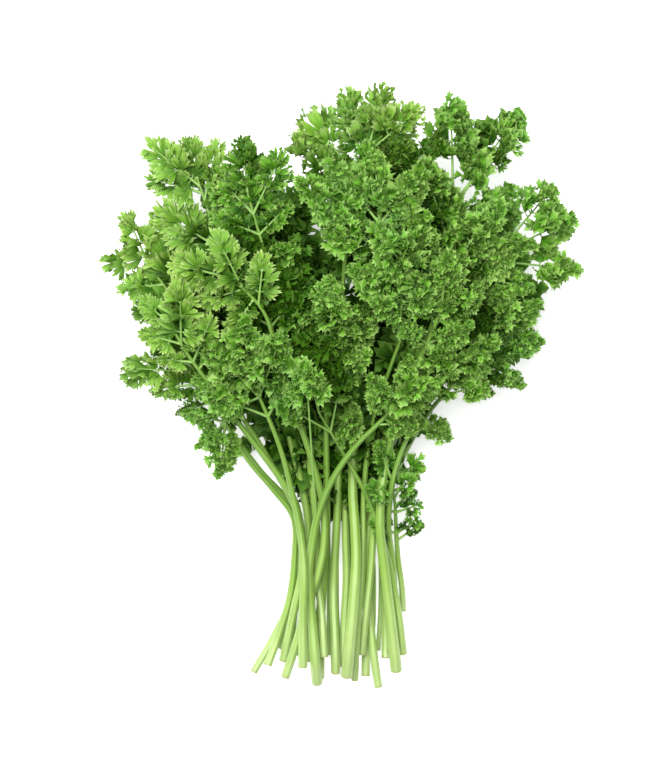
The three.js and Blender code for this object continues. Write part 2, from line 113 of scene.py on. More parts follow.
# The repeatable draws that turn and lift each pinna, as in the solids.
DRAW_FACTOR = 1664525
DRAW_STEP = 1013904223
DRAW_RANGE = 4294967296
DRAW_FROND = 7919
DRAW_PINNA = 104729
DRAW_ATTEMPT = 15485863

# The map of the heap's height: half its side, the side of a cell, and how many cells each way are
# levelled out.
CANOPY_HALF = 150.0
CANOPY_CELL = 2.5
CANOPY_REACH = 4
CANOPY_TOP = 200.0

# How near corners are merged, how near one is on an edge, when a face looks down, and from what
# angle an edge is a crease.
MERGED_WITHIN = 1e-5
EDGE_WITHIN = 1e-4
FACING_DOWN = -0.9
LEAF_CREASE = math.radians(80)
TUBE_CREASE = math.radians(60)
LOWEST_CORNER = 0.05  # how high, in millimetres, the lowest corner of a piece stays

# The seeds of the leaflets, the frills on them and the fronds.
HABIT_SEED = 1000
FRILL_SEED = 77
FROND_SEED = 500


class Habit(Enum):
    """How the leaflets of a frond are crisped."""

    FLAT = "flat"
    LOOSE = "loose"
    CURLY = "curly"
    MOSSY = "mossy"
    PLAIN = "plain"
    FRILL = "frill"


@dataclass(frozen=True)
class Crisping:
    """The shape of a leaflet of one habit, in shares of its length.

    Args:
        spread: Half the angle of its fan, in radians.
        lobes: Its lobes, the lesser lobes in each, and the teeth round each lesser lobe.
        cuts: How deep the cuts between its lobes and between its lesser lobes are.
        tilts: How far its lobes and lesser lobes rise or hang, each its own way.
        waves: How many waves run round its margin.
        height: How far the waves rise.
        fold: How far the waves lean over sideways, in radians.
        teeth: How far its teeth stand out.
        jag: How far its teeth turn up and down.
        cup: How far its margin rises.
        narrow: Its width as a share of a full fan's.
        reach: Its length; the frills on it reach further.
    """

    spread: float
    lobes: tuple[int, int, int]
    cuts: tuple[float, float]
    tilts: tuple[float, float]
    waves: float
    height: float
    fold: float
    teeth: float
    jag: float
    cup: float
    narrow: float
    reach: float = 1.0


@dataclass(frozen=True)
class Frilling:
    """How the small frills sit on a leaflet of one habit, in shares of its length.

    Args:
        rim: How many stand round its margin.
        face: How many stand on its upper face.
        size: How long they are.
        root: How far out the ones round the margin have their roots.
        pitch: How steeply they stand up, in radians.
    """

    rim: int
    face: int
    size: float
    root: float
    pitch: float


WHOLE = (0.0, 0.0)  # neither cut into lobes nor tilted
CURLY_CRISPING = Crisping(
    1.3, (1, 1, 5), WHOLE, WHOLE, 2.5, 0.12, 0.06, 0.16, 0.08, cup=0.2, narrow=0.7, reach=0.7
)
CRISPINGS = {
    Habit.FLAT: Crisping(
        1.15, (3, 3, 3), (0.5, 0.18), (0.32, 0.14), 6.0, 0.05, 0.03, 0.08, 0.05,
        cup=0.1, narrow=0.95,
    ),
    Habit.LOOSE: Crisping(
        1.2, (3, 2, 3), (0.4, 0.16), (0.3, 0.15), 5.0, 0.09, 0.05, 0.12, 0.08,
        cup=0.15, narrow=0.85, reach=0.9,
    ),
    Habit.CURLY: CURLY_CRISPING,
    Habit.MOSSY: replace(CURLY_CRISPING, cup=0.3, narrow=0.75, reach=0.74),
    Habit.PLAIN: Crisping(
        1.6, (3, 2, 2), (0.35, 0.2), (0.3, 0.2), 4.0, 0.10, 0.06, 0.16, 0.10, cup=0.3, narrow=0.95
    ),
    Habit.FRILL: Crisping(
        0.62, (1, 1, 3), WHOLE, WHOLE, 1.5, 0.12, 0.08, 0.28, 0.15, cup=0.45, narrow=1.0
    ),
}
FRILLINGS = {
    Habit.FLAT: Frilling(2, 0, 0.30, 0.6, 0.3),
    Habit.LOOSE: Frilling(7, 2, 0.30, 0.6, 0.6),
    Habit.CURLY: Frilling(10, 8, 0.35, 0.5, 0.8),
    Habit.MOSSY: Frilling(10, 9, 0.36, 0.55, 0.9),
}


@dataclass(frozen=True)
class FrondPlan:
    """One frond as it is drawn in plan.

    Args:
        name: Its name; its node's name ends in _frond.
        layers: Its layer in the heap at the cut end, in the middle and in the leaves.
        girth: Its stem's thickness at the cut end.
        habit: How its leaflets are crisped.
        tone: Own green plus painted light and shade; 0 is the usual green, and the heap's shade is
            added.
        route: Its stem from the cut end to the last fork.
        pinnae: The tips of its pinnae, with how far below the tip each leaves the rachis.
        droop: How far its leaves hang below their layer.
        hidden: Whether it lies under the others.
        sparse: Which of its pinnae carry few leaflets on a bare stalk.
        stalked: Which of its pinnae are leafy only beyond the middle.
        sprigs: How many pairs of lesser sprigs it has between its pinnae, and their length.
        light: Which of its pinnae are lighter than the others, partly as painted light.
        dim: Which of its pinnae are darker than the others, partly as painted shade.
        fills: The tips of lesser sprigs that grow where its stem is nearest.
    """

    name: str
    layers: tuple[float, float, float]
    girth: float
    habit: Habit
    tone: float
    route: tuple[tuple[float, float], ...]
    pinnae: tuple[tuple[float, ...], ...]
    droop: float = 0.0
    hidden: bool = False
    sparse: tuple[int, ...] = ()
    stalked: tuple[int, ...] = ()
    sprigs: tuple[int, float] = (0, 0.0)
    light: tuple[int, ...] = ()
    dim: tuple[int, ...] = ()
    fills: tuple[tuple[float, float], ...] = ()


FRONDS = (
    FrondPlan(
        "front_left", (8.7, 8.8, 8.8), 4, Habit.CURLY, 0.75,
        route=(
            (-15, -117), (-15, -97), (-14.5, -76), (-16, -61), (-19, -46), (-24, -26),
            (-31, -8), (-37, 5),
        ),
        pinnae=(
            (-40, 32), (-58, 22), (-22, 27), (-58, 0), (-17, 10), (-47, -10, 8),
        ),
        sparse=(5,), stalked=(3, 4),
    ),
    FrondPlan(
        "forked", (8, 8.9, 8.8), 4.8, Habit.CURLY, 0.3,
        route=(
            (-9, -124), (-10.5, -105), (-12, -88), (-12.5, -76), (-11, -65), (-8.5, -52),
            (-2, -37), (7, -24), (16, -15), (27, -4),
        ),
        pinnae=(
            (30, 16), (12, 8), (44, 8), (38, -14, 14), (-14, 15, 62),
        ),
        stalked=(4,), light=(2, 3),
    ),
    FrondPlan(
        "crossing", (7.3, 7.9, 7.8), 3.4, Habit.CURLY, 0.9,
        route=(
            (27.5, -112), (25.5, -95), (22, -76), (18, -62), (12, -45), (5, -32), (-2, -20),
            (-8, -10),
        ),
        pinnae=(
            (-14, 12), (-27, -4), (2, 9), (8, -6),
        ),
        sparse=(1,), stalked=(0, 2),
    ),
    FrondPlan(
        "left_hanging", (7, 7.2, 7.2), 3.6, Habit.CURLY, 2.4,
        route=(
            (-30, -117), (-25, -103), (-20.5, -88), (-18.6, -72), (-19, -54), (-27, -43),
            (-38, -30), (-47, -15), (-52, -6),
        ),
        pinnae=(
            (-61, 8), (-67, -8), (-50, -38, 8), (-60, -26, 8),
        ),
    ),
    FrondPlan(
        "left_low", (5.4, 5.4, 5.6), 3.2, Habit.LOOSE, 0.4, droop=5,
        route=(
            (-36, -120), (-29, -108), (-22, -94), (-17.5, -82), (-17, -66), (-19.5, -50),
            (-33, -34), (-46, -16), (-56, 0), (-62, 10),
        ),
        pinnae=(
            (-80, 18), (-90, 9, 4), (-80, 0), (-70, -10, 18), (-48, 12, 18),
        ),
        sparse=(1,),
    ),
    FrondPlan(
        "left_bright", (7.8, 7.6, 8), 3.8, Habit.FLAT, 0.6,
        route=(
            (-23.3, -115), (-21, -104), (-18, -90), (-15.5, -78), (-15.5, -62), (-18, -48),
            (-27, -34), (-42, -14), (-56, 5), (-64, 16), (-70, 27),
        ),
        pinnae=(
            (-84, 39), (-84, 24), (-66, 48), (-77, 13), (-52, 32),
        ),
    ),
    FrondPlan(
        "left_broad", (8.5, 7.8, 8.4), 3.8, Habit.FLAT, 0.4,
        route=(
            (-22.5, -122), (-18, -108), (-14, -94), (-9, -80), (-6, -64), (-7, -46),
            (-13, -24), (-20, -4), (-26, 16), (-31, 32), (-40, 42), (-47, 47),
        ),
        pinnae=(
            (-72, 53), (-52, 66), (-60, 36), (-31, 58), (-46, 22, 16),
        ),
    ),
    FrondPlan(
        "left_far", (6.2, 5.8, 6.4), 3.4, Habit.FLAT, 0.6,
        route=(
            (-24, -110), (-19, -92), (-16, -72), (-17, -54), (-28, -32), (-44, -6), (-60, 22),
            (-72, 42), (-79, 51),
        ),
        pinnae=(
            (-90, 76), (-101, 57, 3), (-94, 42), (-74, 76), (-88, 31), (-60, 56),
        ),
        sparse=(1,),
    ),
    FrondPlan(
        "upper_left", (7, 4.4, 7.2), 3.6, Habit.FLAT, 0.3,
        route=(
            (-12, -115), (-13, -95), (-13, -75), (-13, -55), (-18, -30), (-28, 0), (-40, 30),
            (-49, 56), (-55, 76), (-59, 88),
        ),
        pinnae=(
            (-64, 107), (-80, 103, 3), (-50, 106), (-82, 90, 6), (-38, 90), (-78, 76),
        ),
    ),
    FrondPlan(
        "upper_left_inner", (7.8, 4.6, 8), 3.4, Habit.LOOSE, -1.0,
        route=(
            (-6, -113), (-7, -95), (-9, -78), (-9, -60), (-13, -25), (-19, 10), (-27, 45),
            (-34, 68), (-38, 82),
        ),
        pinnae=(
            (-40, 107), (-22, 102), (-56, 94), (-18, 80), (-56, 74), (-16, 60),
        ),
        light=(3,), dim=(5,),
    ),
    FrondPlan(
        "top_centre", (6.6, 3, 6.8), 4, Habit.LOOSE, 0.7,
        route=(
            (-1.1, -120), (-1.5, -105), (-2, -88), (-1.5, -72), (-0.6, -55), (0, -38), (0, 0),
            (2, 45), (6, 78), (12, 99),
        ),
        pinnae=(
            (20, 129), (3, 127, 3), (36, 119, 0), (-13, 116, 12), (34, 102, 9), (-22, 108, 18),
        ),
        sparse=(3,),
    ),
    FrondPlan(
        "top_right_inner", (5.2, 3, 6), 3.6, Habit.LOOSE, 0.15,
        route=(
            (2, -117), (2.5, -100), (3.5, -80), (3, -60), (3, -40), (8, 0), (15, 40), (20, 70),
            (24, 88),
        ),
        pinnae=(
            (26, 112), (40, 106), (8, 104), (46, 92), (2, 84), (42, 76),
        ),
    ),
    FrondPlan(
        "upper_centre", (8.7, 4, 8.8), 5.2, Habit.CURLY, 0.8,
        route=(
            (3.6, -121), (5, -105), (6.5, -88), (7.5, -72), (7, -58), (6, -42), (7, -18),
            (10, 12), (15, 45), (17, 66), (17, 78),
        ),
        pinnae=(
            (14, 102), (-6, 98), (38, 94), (-20, 88, 12), (-12, 70), (40, 76),
        ),
        light=(0, 2, 3, 5), dim=(4,),
    ),
    FrondPlan(
        "centre", (9, 4.8, 9), 3.2, Habit.CURLY, 0.35,
        route=(
            (7, -123), (7.5, -110), (8.5, -95), (10, -78), (10.5, -60), (11, -40), (14, -16),
            (22, 10), (30, 32), (33, 46),
        ),
        pinnae=(
            (12, 68), (40, 68), (2, 54), (54, 58), (12, 38),
        ),
        light=(3,),
    ),
    FrondPlan(
        "top_right", (7, 3.8, 6.8), 3.8, Habit.MOSSY, 0.2,
        route=(
            (11.6, -121.5), (11.8, -105), (12, -88), (11.5, -72), (11, -61), (13, -44),
            (20, -20), (30, 10), (40, 45), (46, 68), (48, 82),
        ),
        pinnae=(
            (47, 126, 0), (78, 119, 6), (64, 100, 9), (34, 98, 18), (68, 82),
        ),
        sparse=(2, 4), dim=(1,),
    ),
    FrondPlan(
        "right", (7.4, 4.8, 7.4), 3.6, Habit.CURLY, 1.9,
        route=(
            (17, -126.2), (15, -112), (13.5, -97), (12.5, -80), (12.5, -62), (16, -45),
            (24, -20), (36, 8), (50, 36), (60, 52), (69, 60),
        ),
        pinnae=(
            (92, 87), (100, 73), (102, 50), (74, 88), (84, 42), (62, 74, 26),
        ),
        stalked=(0, 1, 2, 4), light=(0, 1, 3),
        fills=((84, 63),),
    ),
    FrondPlan(
        "right_inner", (8.2, 5, 8.2), 3.4, Habit.CURLY, 0.75,
        route=(
            (10, -112), (12, -92), (14, -74), (15, -58), (20, -32), (30, 2), (40, 30),
            (48, 50), (52, 58),
        ),
        pinnae=(
            (70, 80), (50, 82), (76, 60), (64, 44), (36, 54, 16),
        ),
    ),
    FrondPlan(
        "centre_right", (8.8, 5.6, 8.8), 5, Habit.CURLY, 0.45,
        route=(
            (24.6, -119), (23, -105), (21, -88), (19, -72), (17.5, -58), (18.5, -40),
            (24, -14), (32, 8), (40, 26), (43, 36),
        ),
        pinnae=(
            (46, 60), (28, 50), (62, 46), (24, 28), (58, 28),
        ),
    ),
    FrondPlan(
        "right_low", (5.4, 5, 5.8), 3.4, Habit.CURLY, 0.4, droop=5,
        route=(
            (20, -114), (20, -95), (19, -76), (18, -60), (24, -36), (38, -10), (54, 8),
            (66, 20), (71, 26),
        ),
        pinnae=(
            (86, 38), (88, 20), (68, 46), (80, 2), (50, 38), (66, -2),
        ),
    ),
    FrondPlan(
        "right_front", (7.6, 6.6, 7.8), 3.6, Habit.CURLY, 1.0,
        route=(
            (22, -111), (23.5, -92), (23, -74), (21, -57), (24, -34), (31, -16), (38, -5),
            (45, 4),
        ),
        pinnae=(
            (68, 24), (64, 2), (44, 22), (48, -22), (24, -6),
        ),
        sparse=(1,),
    ),
    FrondPlan(
        "right_neck", (5, 5, 6), 2.8, Habit.LOOSE, 0.1,
        route=(
            (27.5, -94), (27, -84), (25.5, -73), (24.5, -61), (24, -49), (22, -37),
        ),
        pinnae=(
            (16, -20), (34, -27), (36, -56, 26), (34, -42, 12),
        ),
        sparse=(1, 2), sprigs=(3, 13.0),
    ),
    FrondPlan(
        "middle", (7.6, 5.6, 7.6), 4.4, Habit.CURLY, -0.1,
        route=(
            (-8, -122), (-8, -105), (-7, -88), (-6, -72), (-5, -56), (-5, -36), (-5, -8),
            (-4, 8), (-3, 20),
        ),
        pinnae=(
            (-3, 50), (-22, 42), (15, 40), (-22, 20), (15, 18),
        ),
        dim=(1,),
    ),
    FrondPlan(
        "middle_left", (6.4, 4.8, 7), 3.4, Habit.CURLY, -1.5,
        route=(
            (-14, -112), (-12, -94), (-10, -76), (-10, -60), (-14, -32), (-21, 0), (-28, 26),
            (-32, 44),
        ),
        pinnae=(
            (-36, 72), (-14, 66), (-50, 58), (-10, 48), (-50, 38),
        ),
        dim=(1, 3),
    ),
    FrondPlan(
        "inner_front", (2.4, 2.2, 2.6), 3.2, Habit.CURLY, -0.8,
        route=(
            (0, -113), (-1, -95), (-1, -75), (-1, -58), (-1, -44), (-1, -30),
        ),
        pinnae=(
            (0, -4), (-22, -10), (22, -10), (-24, -32), (23, -32),
        ),
        stalked=(0,),
    ),
    FrondPlan(
        "under_left", (1.2, 1.2, 1.2), 3.6, Habit.CURLY, -0.1, droop=12, hidden=True,
        route=(
            (-20, -111), (-18, -92), (-16, -72), (-16, -54), (-28, -26), (-46, 5), (-58, 28),
            (-64, 42),
        ),
        pinnae=(
            (-76, 66), (-90, 50), (-54, 66), (-84, 26), (-40, 42), (-74, 4),
        ),
        fills=((-50, -17), (-44, -27)),
    ),
    FrondPlan(
        "under_upper_left", (0.4, 0.4, 0.4), 3.6, Habit.CURLY, -0.1, droop=12, hidden=True,
        route=(
            (-8, -112), (-8, -92), (-8, -72), (-9, -54), (-13, -22), (-20, 20), (-26, 50),
            (-30, 64),
        ),
        pinnae=(
            (-36, 94), (-58, 84), (-12, 88), (-52, 56), (-6, 62), (-44, 30),
        ),
        fills=((-10, 68), (-22, 84)),
    ),
    FrondPlan(
        "under_upper_right", (0.6, 0.6, 0.6), 3.8, Habit.CURLY, -0.1, droop=12, hidden=True,
        route=(
            (6, -114), (6, -94), (5, -74), (5, -54), (9, -20), (14, 20), (18, 50), (21, 66),
        ),
        pinnae=(
            (24, 98), (4, 92), (46, 90), (-2, 66), (48, 64), (38, 36),
        ),
    ),
    FrondPlan(
        "under_right", (1.2, 1.2, 1.2), 3.6, Habit.CURLY, -0.1, droop=12, hidden=True,
        route=(
            (17, -111), (18, -92), (18, -72), (17, -54), (26, -24), (42, 6), (56, 28),
            (64, 40),
        ),
        pinnae=(
            (78, 64), (90, 42), (62, 68), (82, 16), (44, 50), (66, 0),
        ),
    ),
    FrondPlan(
        "under_front", (0.2, 0.2, 0.2), 3.4, Habit.CURLY, -0.1, droop=12, hidden=True,
        route=(
            (-4, -113), (-4, -95), (-4, -75), (-4, -55), (-3, -35), (-1, -15), (0, 0),
        ),
        pinnae=(
            (2, 30), (-24, 22), (26, 20), (-30, -8), (30, -8),
        ),
    ),
    FrondPlan(
        "inner_left", (3.4, 3.4, 3.6), 3.4, Habit.CURLY, -0.1, droop=4, hidden=True,
        route=(
            (-17, -113), (-15, -94), (-13, -75), (-13, -56), (-22, -28), (-36, 4), (-46, 30),
            (-51, 46),
        ),
        pinnae=(
            (-58, 76), (-78, 58), (-34, 68), (-74, 34), (-30, 40), (-64, 10),
        ),
    ),
    FrondPlan(
        "inner_right", (3.4, 3.4, 3.6), 3.6, Habit.CURLY, -0.1, droop=4, hidden=True,
        route=(
            (14, -114), (15, -95), (15, -76), (14, -57), (22, -30), (36, 0), (47, 26),
            (53, 42),
        ),
        pinnae=(
            (60, 74), (36, 70), (80, 56), (30, 40), (78, 28), (62, 0),
        ),
    ),
)


def unit(vector: np.ndarray) -> np.ndarray:
    """Returns a vector at length one."""
    return vector / max(float(np.linalg.norm(vector)), TINY)


def nearest(value: float) -> int:
    """Returns the nearest whole number, with halves taken up."""
    return int(math.floor(value + 0.5))


def turned(vector: np.ndarray, axis: np.ndarray, angle: float) -> np.ndarray:
    """Turns a vector about an axis.

    Args:
        vector: The vector.
        axis: The axis, at length one.
        angle: How far it turns, in radians.

    Returns:
        The turned vector.
    """
    return (
        vector * math.cos(angle)
        + np.cross(axis, vector) * math.sin(angle)
        + axis * float(np.dot(axis, vector)) * (1 - math.cos(angle))
    )


def swing(rng: np.random.Generator, most: float) -> float:
    """Returns a random number, up to so much either way."""
    return most * rng.uniform(-1, 1)


def draws(seed: int) -> Iterator[float]:
    """Draws numbers from -1 to 1 that come out the same for the same seed.

    Args:
        seed: Where the numbers start.

    Returns:
        The numbers, without an end.
    """
    state = seed
    while True:
        state = (DRAW_FACTOR * state + DRAW_STEP) % DRAW_RANGE
        yield 2 * state / DRAW_RANGE - 1


def layer_height(x: float, y: float, layer: float) -> float:
    """Works out how high a layer of the heap lies.

    Args:
        x: The place across the bunch, in millimetres.
        y: The place along it.
        layer: The layer.

    Returns:
        The height in millimetres.
    """
    across = (x - HEAD_X) / HEAD_HALF_WIDTH
    along = max(0.0, y - HEAD_Y) / HEAD_HALF_LENGTH
    full = math.sqrt(max(RIM_SHARE**2, 1 - across * across - along * along))
    share = min(max((y - LIFT_FROM_Y) / (LIFT_TO_Y - LIFT_FROM_Y), 0.0), 1.0)
    lift = STEM_LIFT * share * share * (3 - 2 * share)
    stack = float(np.interp(y, STACK_Y, STACK_HEIGHT))
    return FLOOR_GAP + lift + RIM_LIFT * (1 - full) + (layer / TOP_LAYER) * stack * full


def heap_normal(x: float, y: float) -> np.ndarray:
    """Works out which way the heap's surface faces.

    Args:
        x: The place across the bunch, in millimetres.
        y: The place along it.

    Returns:
        Its outward normal.
    """
    step = SLOPE_STEP
    slope_x = layer_height(x + step, y, TOP_LAYER) - layer_height(x - step, y, TOP_LAYER)
    slope_y = layer_height(x, y + step, TOP_LAYER) - layer_height(x, y - step, TOP_LAYER)
    return unit(np.array([-slope_x / (2 * step), -slope_y / (2 * step), 1.0]))


class Spline:
    """A smooth line in plan through given points, the centripetal Catmull-Rom one.

    Args:
        route: The points that it passes through.
    """

    DIVISIONS = 200

    def __init__(self, route: tuple[tuple[float, float], ...]) -> None:
        """Measures the line."""
        self.knots = np.array(route, dtype=float)
        table = np.array([self.at(i / self.DIVISIONS) for i in range(self.DIVISIONS + 1)])
        steps = np.linalg.norm(np.diff(table, axis=0), axis=1)
        self.lengths = np.concatenate([[0.0], np.cumsum(steps)])

    def at(self, t: float) -> np.ndarray:
        """Works out a point of the line.

        Args:
            t: How far along it is, as a share of the line's knots.

        Returns:
            The point.
        """
        knots = self.knots
        last = len(knots) - 1
        spot = t * last
        start = min(int(spot), last - 1)
        weight = spot - start
        p1, p2 = knots[start], knots[start + 1]
        p0 = knots[start - 1] if start > 0 else 2 * knots[0] - knots[1]
        p3 = knots[start + 2] if start + 2 <= last else 2 * knots[last] - knots[last - 1]
        spans = ((p0, p1), (p1, p2), (p2, p3))
        d0, d1, d2 = (math.sqrt(float(np.linalg.norm(b - a))) for a, b in spans)
        t1 = ((p1 - p0) / d0 - (p2 - p0) / (d0 + d1) + (p2 - p1) / d1) * d1
        t2 = ((p2 - p1) / d1 - (p3 - p1) / (d1 + d2) + (p3 - p2) / d2) * d1
        c2 = -3 * p1 + 3 * p2 - 2 * t1 - t2
        c3 = 2 * p1 - 2 * p2 + t1 + t2
        return p1 + weight * (t1 + weight * (c2 + weight * c3))

    def spaced(self, count: int) -> np.ndarray:
        """Divides the line evenly.

        Args:
            count: How many steps it is divided into.

        Returns:
            Points an even distance apart, one more than the steps.
        """
        marks = np.interp(
            np.linspace(0, self.lengths[-1], count + 1),
            self.lengths,
            np.linspace(0, 1, self.DIVISIONS + 1),
        )
        return np.array([self.at(t) for t in marks])


class Stem:
    """A frond's stem and rachis as a line of points.

    Args:
        plan: The frond as drawn.
    """

    def __init__(self, plan: FrondPlan) -> None:
        """Lays the stem in its layer of the heap."""
        self.plan = plan
        spline = Spline(plan.route)
        count = nearest(spline.lengths[-1] / STEM_STEP)
        flat = spline.spaced(count)
        share = np.arange(count + 1) / count
        cut, middle, leaves = plan.layers
        self.layer = np.interp(share, LAYER_SHARES, (cut, middle, middle, leaves))
        self.radius = plan.girth / 2 * np.maximum(1 - STEM_TAPER * share, STEM_TAPER)
        heights = [layer_height(x, y, layer) for (x, y), layer in zip(flat, self.layer)]
        self.points = np.column_stack([flat, heights])


class Heap:
    """All the stems, settled on one another as in the solids.

    Args:
        plans: The fronds as drawn.
    """

    def __init__(self, plans: tuple[FrondPlan, ...]) -> None:
        """Lays every stem."""
        self.stems = [Stem(plan) for plan in plans]

    def crossings(self, a: Stem, b: Stem) -> list[tuple[Stem, int, Stem, int, float]]:
        """Finds where two stems lie near each other.

        Args:
            a: One stem.
            b: The other.

        Returns:
            Each meeting: the lower stem and its point, the upper one and its point, and the rise
            between them.
        """
        gap = a.points[:, None, :2] - b.points[None, :, :2]
        apart = (gap**2).sum(axis=2)
        reach = a.radius[:, None] + b.radius[None, :] + STEM_GAP
        near = np.argwhere(apart < reach**2)
        rank = sum(b.layer[j] - a.layer[i] for i, j in near)
        rises = [math.sqrt(reach[i, j] ** 2 - apart[i, j]) for i, j in near]
        if rank >= 0:
            return [(a, i, b, j, rise) for (i, j), rise in zip(near, rises)]
        return [(b, j, a, i, rise) for (i, j), rise in zip(near, rises)]

    def settle(self) -> None:
        """Pushes the stems apart in height until they lie on one another."""
        heights = {id(stem): stem.points[:, 2].tolist() for stem in self.stems}
        meetings = [
            (heights[id(under)], i, heights[id(over)], j, rise)
            for n, a in enumerate(self.stems)
            for b in self.stems[n + 1 :]
            for under, i, over, j, rise in self.crossings(a, b)
        ]
        for turn in range(SETTLE_ROUNDS):
            for under, i, over, j, rise in meetings:
                push = (rise - (over[j] - under[i])) * PUSH_SHARE
                if push > 0:
                    under[i] -= push
                    over[j] += push
            ease = SOFT_EASE if turn < FIRM_ROUNDS else FIRM_EASE
            for stem in self.stems:
                z = np.array(heights[id(stem)])
                z[1:-1] += ease * (z[:-2] - 2 * z[1:-1] + z[2:])
                heights[id(stem)][:] = np.maximum(z, stem.radius * FLAT_SIDE).tolist()
        for stem in self.stems:
            stem.points[:, 2] = heights[id(stem)]


@dataclass(frozen=True)
class Pinna:
    """One pinna of a frond: where its rib runs and how it is turned.

    Args:
        root: Where it leaves the rachis.
        tip: Where its rib ends.
        roll: How far it is turned about its rib, in radians.
        longest: The longest that its blade may be; the rest of its length is its stalk.
        lift: How far its tip is bent up.
    """

    root: np.ndarray
    tip: np.ndarray
    roll: float
    longest: float = BLADE_LONGEST
    lift: float = 0.0

    @classmethod
    def drawn(
        cls, stem: Stem, order: int, index: int, attempt: int = 0, lift: float = 0.0
    ) -> "Pinna":
        """Draws a pinna of the plan, as the solids have it.

        Args:
            stem: The stem that it grows from.
            order: The frond's place in the list.
            index: The pinna's place on the frond.
            attempt: Which draw of its turn and height it uses.
            lift: How far its tip is bent up.

        Returns:
            The pinna.
        """
        spec = stem.plan.pinnae[index]
        x, y = spec[:2]
        back = spec[2] if len(spec) > 2 else PAIR_SPACING[index]
        draw = draws(DRAW_FROND * (order + 1) + DRAW_PINNA * (index + 1) + DRAW_ATTEMPT * attempt)
        next(draw)
        at = max(0, len(stem.points) - 1 - nearest(back / STEM_STEP))
        root = stem.points[at]
        settled = root[2] - layer_height(root[0], root[1], stem.layer[at])
        height = layer_height(x, y, stem.plan.layers[2]) + settled - stem.plan.droop
        tip = np.array([x, y, max(height + BEND_SWING * next(draw), LOWEST_TIP)])
        longest = BLADE_LONGEST_HIDDEN if stem.plan.hidden else BLADE_LONGEST
        return cls(root, tip, BEND_ROLL * next(draw), longest, lift)

    @property
    def length(self) -> float:
        """Its length from the rachis to its tip."""
        return float(np.linalg.norm(self.tip - self.root))

    @property
    def along(self) -> np.ndarray:
        """The direction of its rib."""
        return unit(self.tip - self.root)

    @property
    def side(self) -> np.ndarray:
        """The direction across its blade."""
        flat = unit(np.cross(heap_normal(self.tip[0], self.tip[1]), self.along))
        return turned(flat, self.along, self.roll)

    @property
    def normal(self) -> np.ndarray:
        """The direction that its upper face looks in."""
        return np.cross(self.along, self.side)

    @property
    def blade(self) -> float:
        """The length of its leafy part."""
        return min(self.length - BLADE_STALK, self.longest)

    @property
    def stalk(self) -> float:
        """The length of its bare part."""
        return self.length - self.blade

    def place(self, along: float) -> np.ndarray:
        """Finds a place on the pinna's arched rib.

        Args:
            along: How far along the pinna it is, in millimetres.

        Returns:
            The place in millimetres.
        """
        share = min(max(along / self.length, 0.0), 1.0)
        rise = 4 * BEND_ARCH * self.blade * share * (1 - share) + self.lift * share * share
        return self.root + self.along * along + UPWARDS * rise


class Fitting:
    """Finds which draw and lift each pinna of a node has, from the node's own faces.

    Args:
        node: The frond's node.
    """

    def __init__(self, node: bpy.types.Object) -> None:
        """Sorts the node's faces, so that the nearest one is quickly found."""
        corners = [tuple(v.co) for v in node.data.vertices]
        faces = [tuple(p.vertices) for p in node.data.polygons]
        self.tree = BVHTree.FromPolygons(corners, faces)

    def miss(self, pinna: Pinna) -> float:
        """Measures how well a pinna fits the node.

        Args:
            pinna: The pinna.

        Returns:
            How far, in millimetres, its rib is from lying in the node's sheet.
        """
        worst = 0.0
        for share in RIB_STATIONS:
            spot = pinna.place(pinna.stalk + share * pinna.blade) - np.array([0.0, CENTRE_Y, 0.0])
            _, _, _, apart = self.tree.find_nearest(tuple(spot * MM))
            worst = max(worst, abs(apart / MM - HALF_THICKNESS))
        return worst

    def pinna(self, stem: Stem, order: int, index: int) -> tuple[Pinna, bool]:
        """Finds the pinna that the node has.

        Args:
            stem: The stem that it grows from.
            order: The frond's place in the list.
            index: The pinna's place on the frond.

        Returns:
            The pinna, and whether the node has it at all.
        """
        best = Pinna.drawn(stem, order, index)
        least = self.miss(best)
        for attempt in range(ATTEMPTS):
            for lift in TIP_LIFTS:
                if least < FOUND_WITHIN:
                    return best, True
                other = Pinna.drawn(stem, order, index, attempt, lift)
                miss = self.miss(other)
                if miss < least:
                    best, least = other, miss
        if least < FOUND_WITHIN:
            return best, True
        return Pinna.drawn(stem, order, index), False


class Canopy:
    """The height of the heap's top, levelled out, from the nodes' own faces.

    Args:
        nodes: The fronds' nodes.
    """

    def __init__(self, nodes: list[bpy.types.Object]) -> None:
        """Measures the heap's height from above, cell by cell, and levels it out."""
        corners, faces = [], []
        for node in nodes:
            first = len(corners)
            corners.extend(tuple(v.co) for v in node.data.vertices)
            faces.extend(tuple(first + corner for corner in p.vertices) for p in node.data.polygons)
        tree = BVHTree.FromPolygons(corners, faces)
        marks = np.arange(-CANOPY_HALF, CANOPY_HALF, CANOPY_CELL)
        heights = np.zeros((len(marks), len(marks)))
        found = np.zeros_like(heights)
        for row, across in enumerate(marks):
            for column, along in enumerate(marks):
                above = (across * MM, along * MM, CANOPY_TOP * MM)
                spot, _, _, _ = tree.ray_cast(above, (0.0, 0.0, -1.0))
                if spot is not None:
                    heights[row, column] = spot[2] / MM
                    found[row, column] = 1.0
        self.level = self.levelled(heights) / np.maximum(self.levelled(found), 1.0)

    def levelled(self, cells: np.ndarray) -> np.ndarray:
        """Adds up the cells round each cell.

        Args:
            cells: A number for each cell of the map.

        Returns:
            The sums.
        """
        for axis in (0, 1):
            shifts = range(-CANOPY_REACH, CANOPY_REACH + 1)
            cells = sum(np.roll(cells, shift, axis) for shift in shifts)
        return cells

    def relief(self, places: np.ndarray) -> np.ndarray:
        """Returns how far places are, in millimetres, above the heap's level round them."""
        cells = ((places[:, :2] + CANOPY_HALF) / CANOPY_CELL).astype(int)
        return places[:, 2] - self.level[cells[:, 0], cells[:, 1]]


